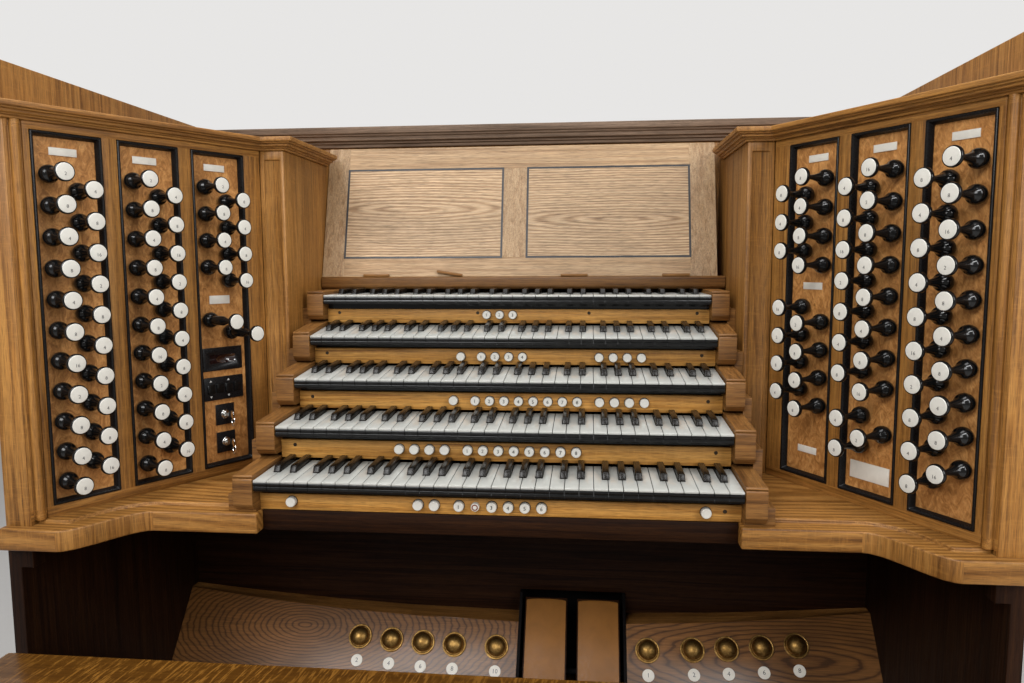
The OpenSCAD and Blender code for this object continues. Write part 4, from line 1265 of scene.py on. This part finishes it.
# %% Swell treads
SHOE_X = (67, 180)
TREAD_HALF = 43
TREAD_LOW, TREAD_HIGH = -260, 15
TREAD_ARCH = 4
TREAD_OUT = 12.4
TREAD_T = 2.4
TREAD_EDGE = 0.8
arch = arc(0, TREAD_HIGH, TREAD_HALF, TREAD_ARCH, 0, 180, 9)
TREAD = [(-TREAD_HALF, TREAD_LOW), (TREAD_HALF, TREAD_LOW)] + arch
for x, hand in zip(SHOE_X, ("left", "right")):
    # The swell pedal body under each tread takes the near-black oak as painted shade.
    rounded(hand + "_swell_pedal", painted_shade_across, 1.5)
    place = on_toe_board(x, 0, TREAD_OUT)
    tread = sawn(TREAD, TREAD_T, TREAD_EDGE)
    settle(tread, hand + "_swell_tread", tread_tan, place, hand + "_swell")
print("foot controls done")

# %% [markdown]
# The camera stands where the photograph was taken: a little right of the middle, 1.2 m
# over the floor, looking slightly down and left. Its place was solved from the
# keyboards. The room is a plain pale floor and a pale, even sky.

# %% Camera
CAMERA_AT = (0.1533, -1.2805, 1.2045)
YAW = 0.09874
LOOK_DOWN = 0.10284
ROLL = -0.00426
camera_data = bpy.data.cameras.new("camera")
camera_data.lens = 26.87
camera_data.sensor_width = 36
camera = linked("camera", camera_data)
aim = Matrix.Rotation(YAW, 4, "Z") @ Matrix.Rotation(math.pi / 2 - LOOK_DOWN, 4, "X")
camera.rotation_euler = (aim @ Matrix.Rotation(ROLL, 4, "Z")).to_euler()
camera.location = CAMERA_AT
bpy.context.scene.camera = camera

# %% Floor and room
FLOOR_SIZE = 14
bpy.ops.mesh.primitive_plane_add(size=FLOOR_SIZE)
floor = bpy.context.object
floor.name = "floor"
floor.data.materials.append(plain("pale_floor", (0.62, 0.61, 0.6), 0.8, vary=0.02, scale=3))

world = bpy.data.worlds.new("pale_room")
bpy.context.scene.world = world
world.use_nodes = True
tree = world.node_tree
sky = tree.nodes["Background"]
feed(sky, {"Color": (1.0, 0.98, 0.95, 1), "Strength": 0.35})
shown = add(tree, "ShaderNodeBackground")
feed(shown, {"Color": (0.8, 0.79, 0.78, 1)})
path = add(tree, "ShaderNodeLightPath")
either = add(tree, "ShaderNodeMixShader")
tree.links.new(path.outputs["Is Camera Ray"], either.inputs["Fac"])
tree.links.new(sky.outputs["Background"], either.inputs[1])
tree.links.new(shown.outputs["Background"], either.inputs[2])
tree.links.new(either.outputs["Shader"], tree.nodes["World Output"].inputs["Surface"])

# %% [markdown]
# Three soft boxes light the wood. Two narrow strips show only in gloss: they draw a
# pale sheen low on the toe board and add no light to dull surfaces.

# %% Soft boxes
def lamp(name, place, target, size, power):
    """A soft box at place, facing target."""
    data = bpy.data.lights.new(name, "AREA")
    data.shape = "RECTANGLE"
    data.size, data.size_y = size
    data.energy = power
    obj = linked(name, data)
    obj.location = place
    aim = Vector(target) - Vector(place)
    obj.rotation_euler = aim.to_track_quat("-Z", "Y").to_euler()
    return obj


lamp("front_box", (-1.3, -3.2, 3.0), (0, 0, 1.0), (2.2, 1.6), 98)
lamp("right_box", (2.6, -2.4, 2.4), (0, 0, 1.0), (1.6, 1.6), 60)
lamp("top_box", (0, -0.4, 3.4), (0, 0, 0.9), (2.0, 1.6), 45)
left_strip = lamp("left_strip", (-0.78, -2.15, 3.0), (-0.28, 0.26, 0.36), (0.8, 0.3), 16)
right_strip = lamp("right_strip", (1.2, -2.05, 3.0), (0.55, 0.28, 0.37), (1.1, 0.35), 24)
for strip in (left_strip, right_strip):
    strip.visible_diffuse = False
bpy.context.scene.view_settings.view_transform = "Standard"
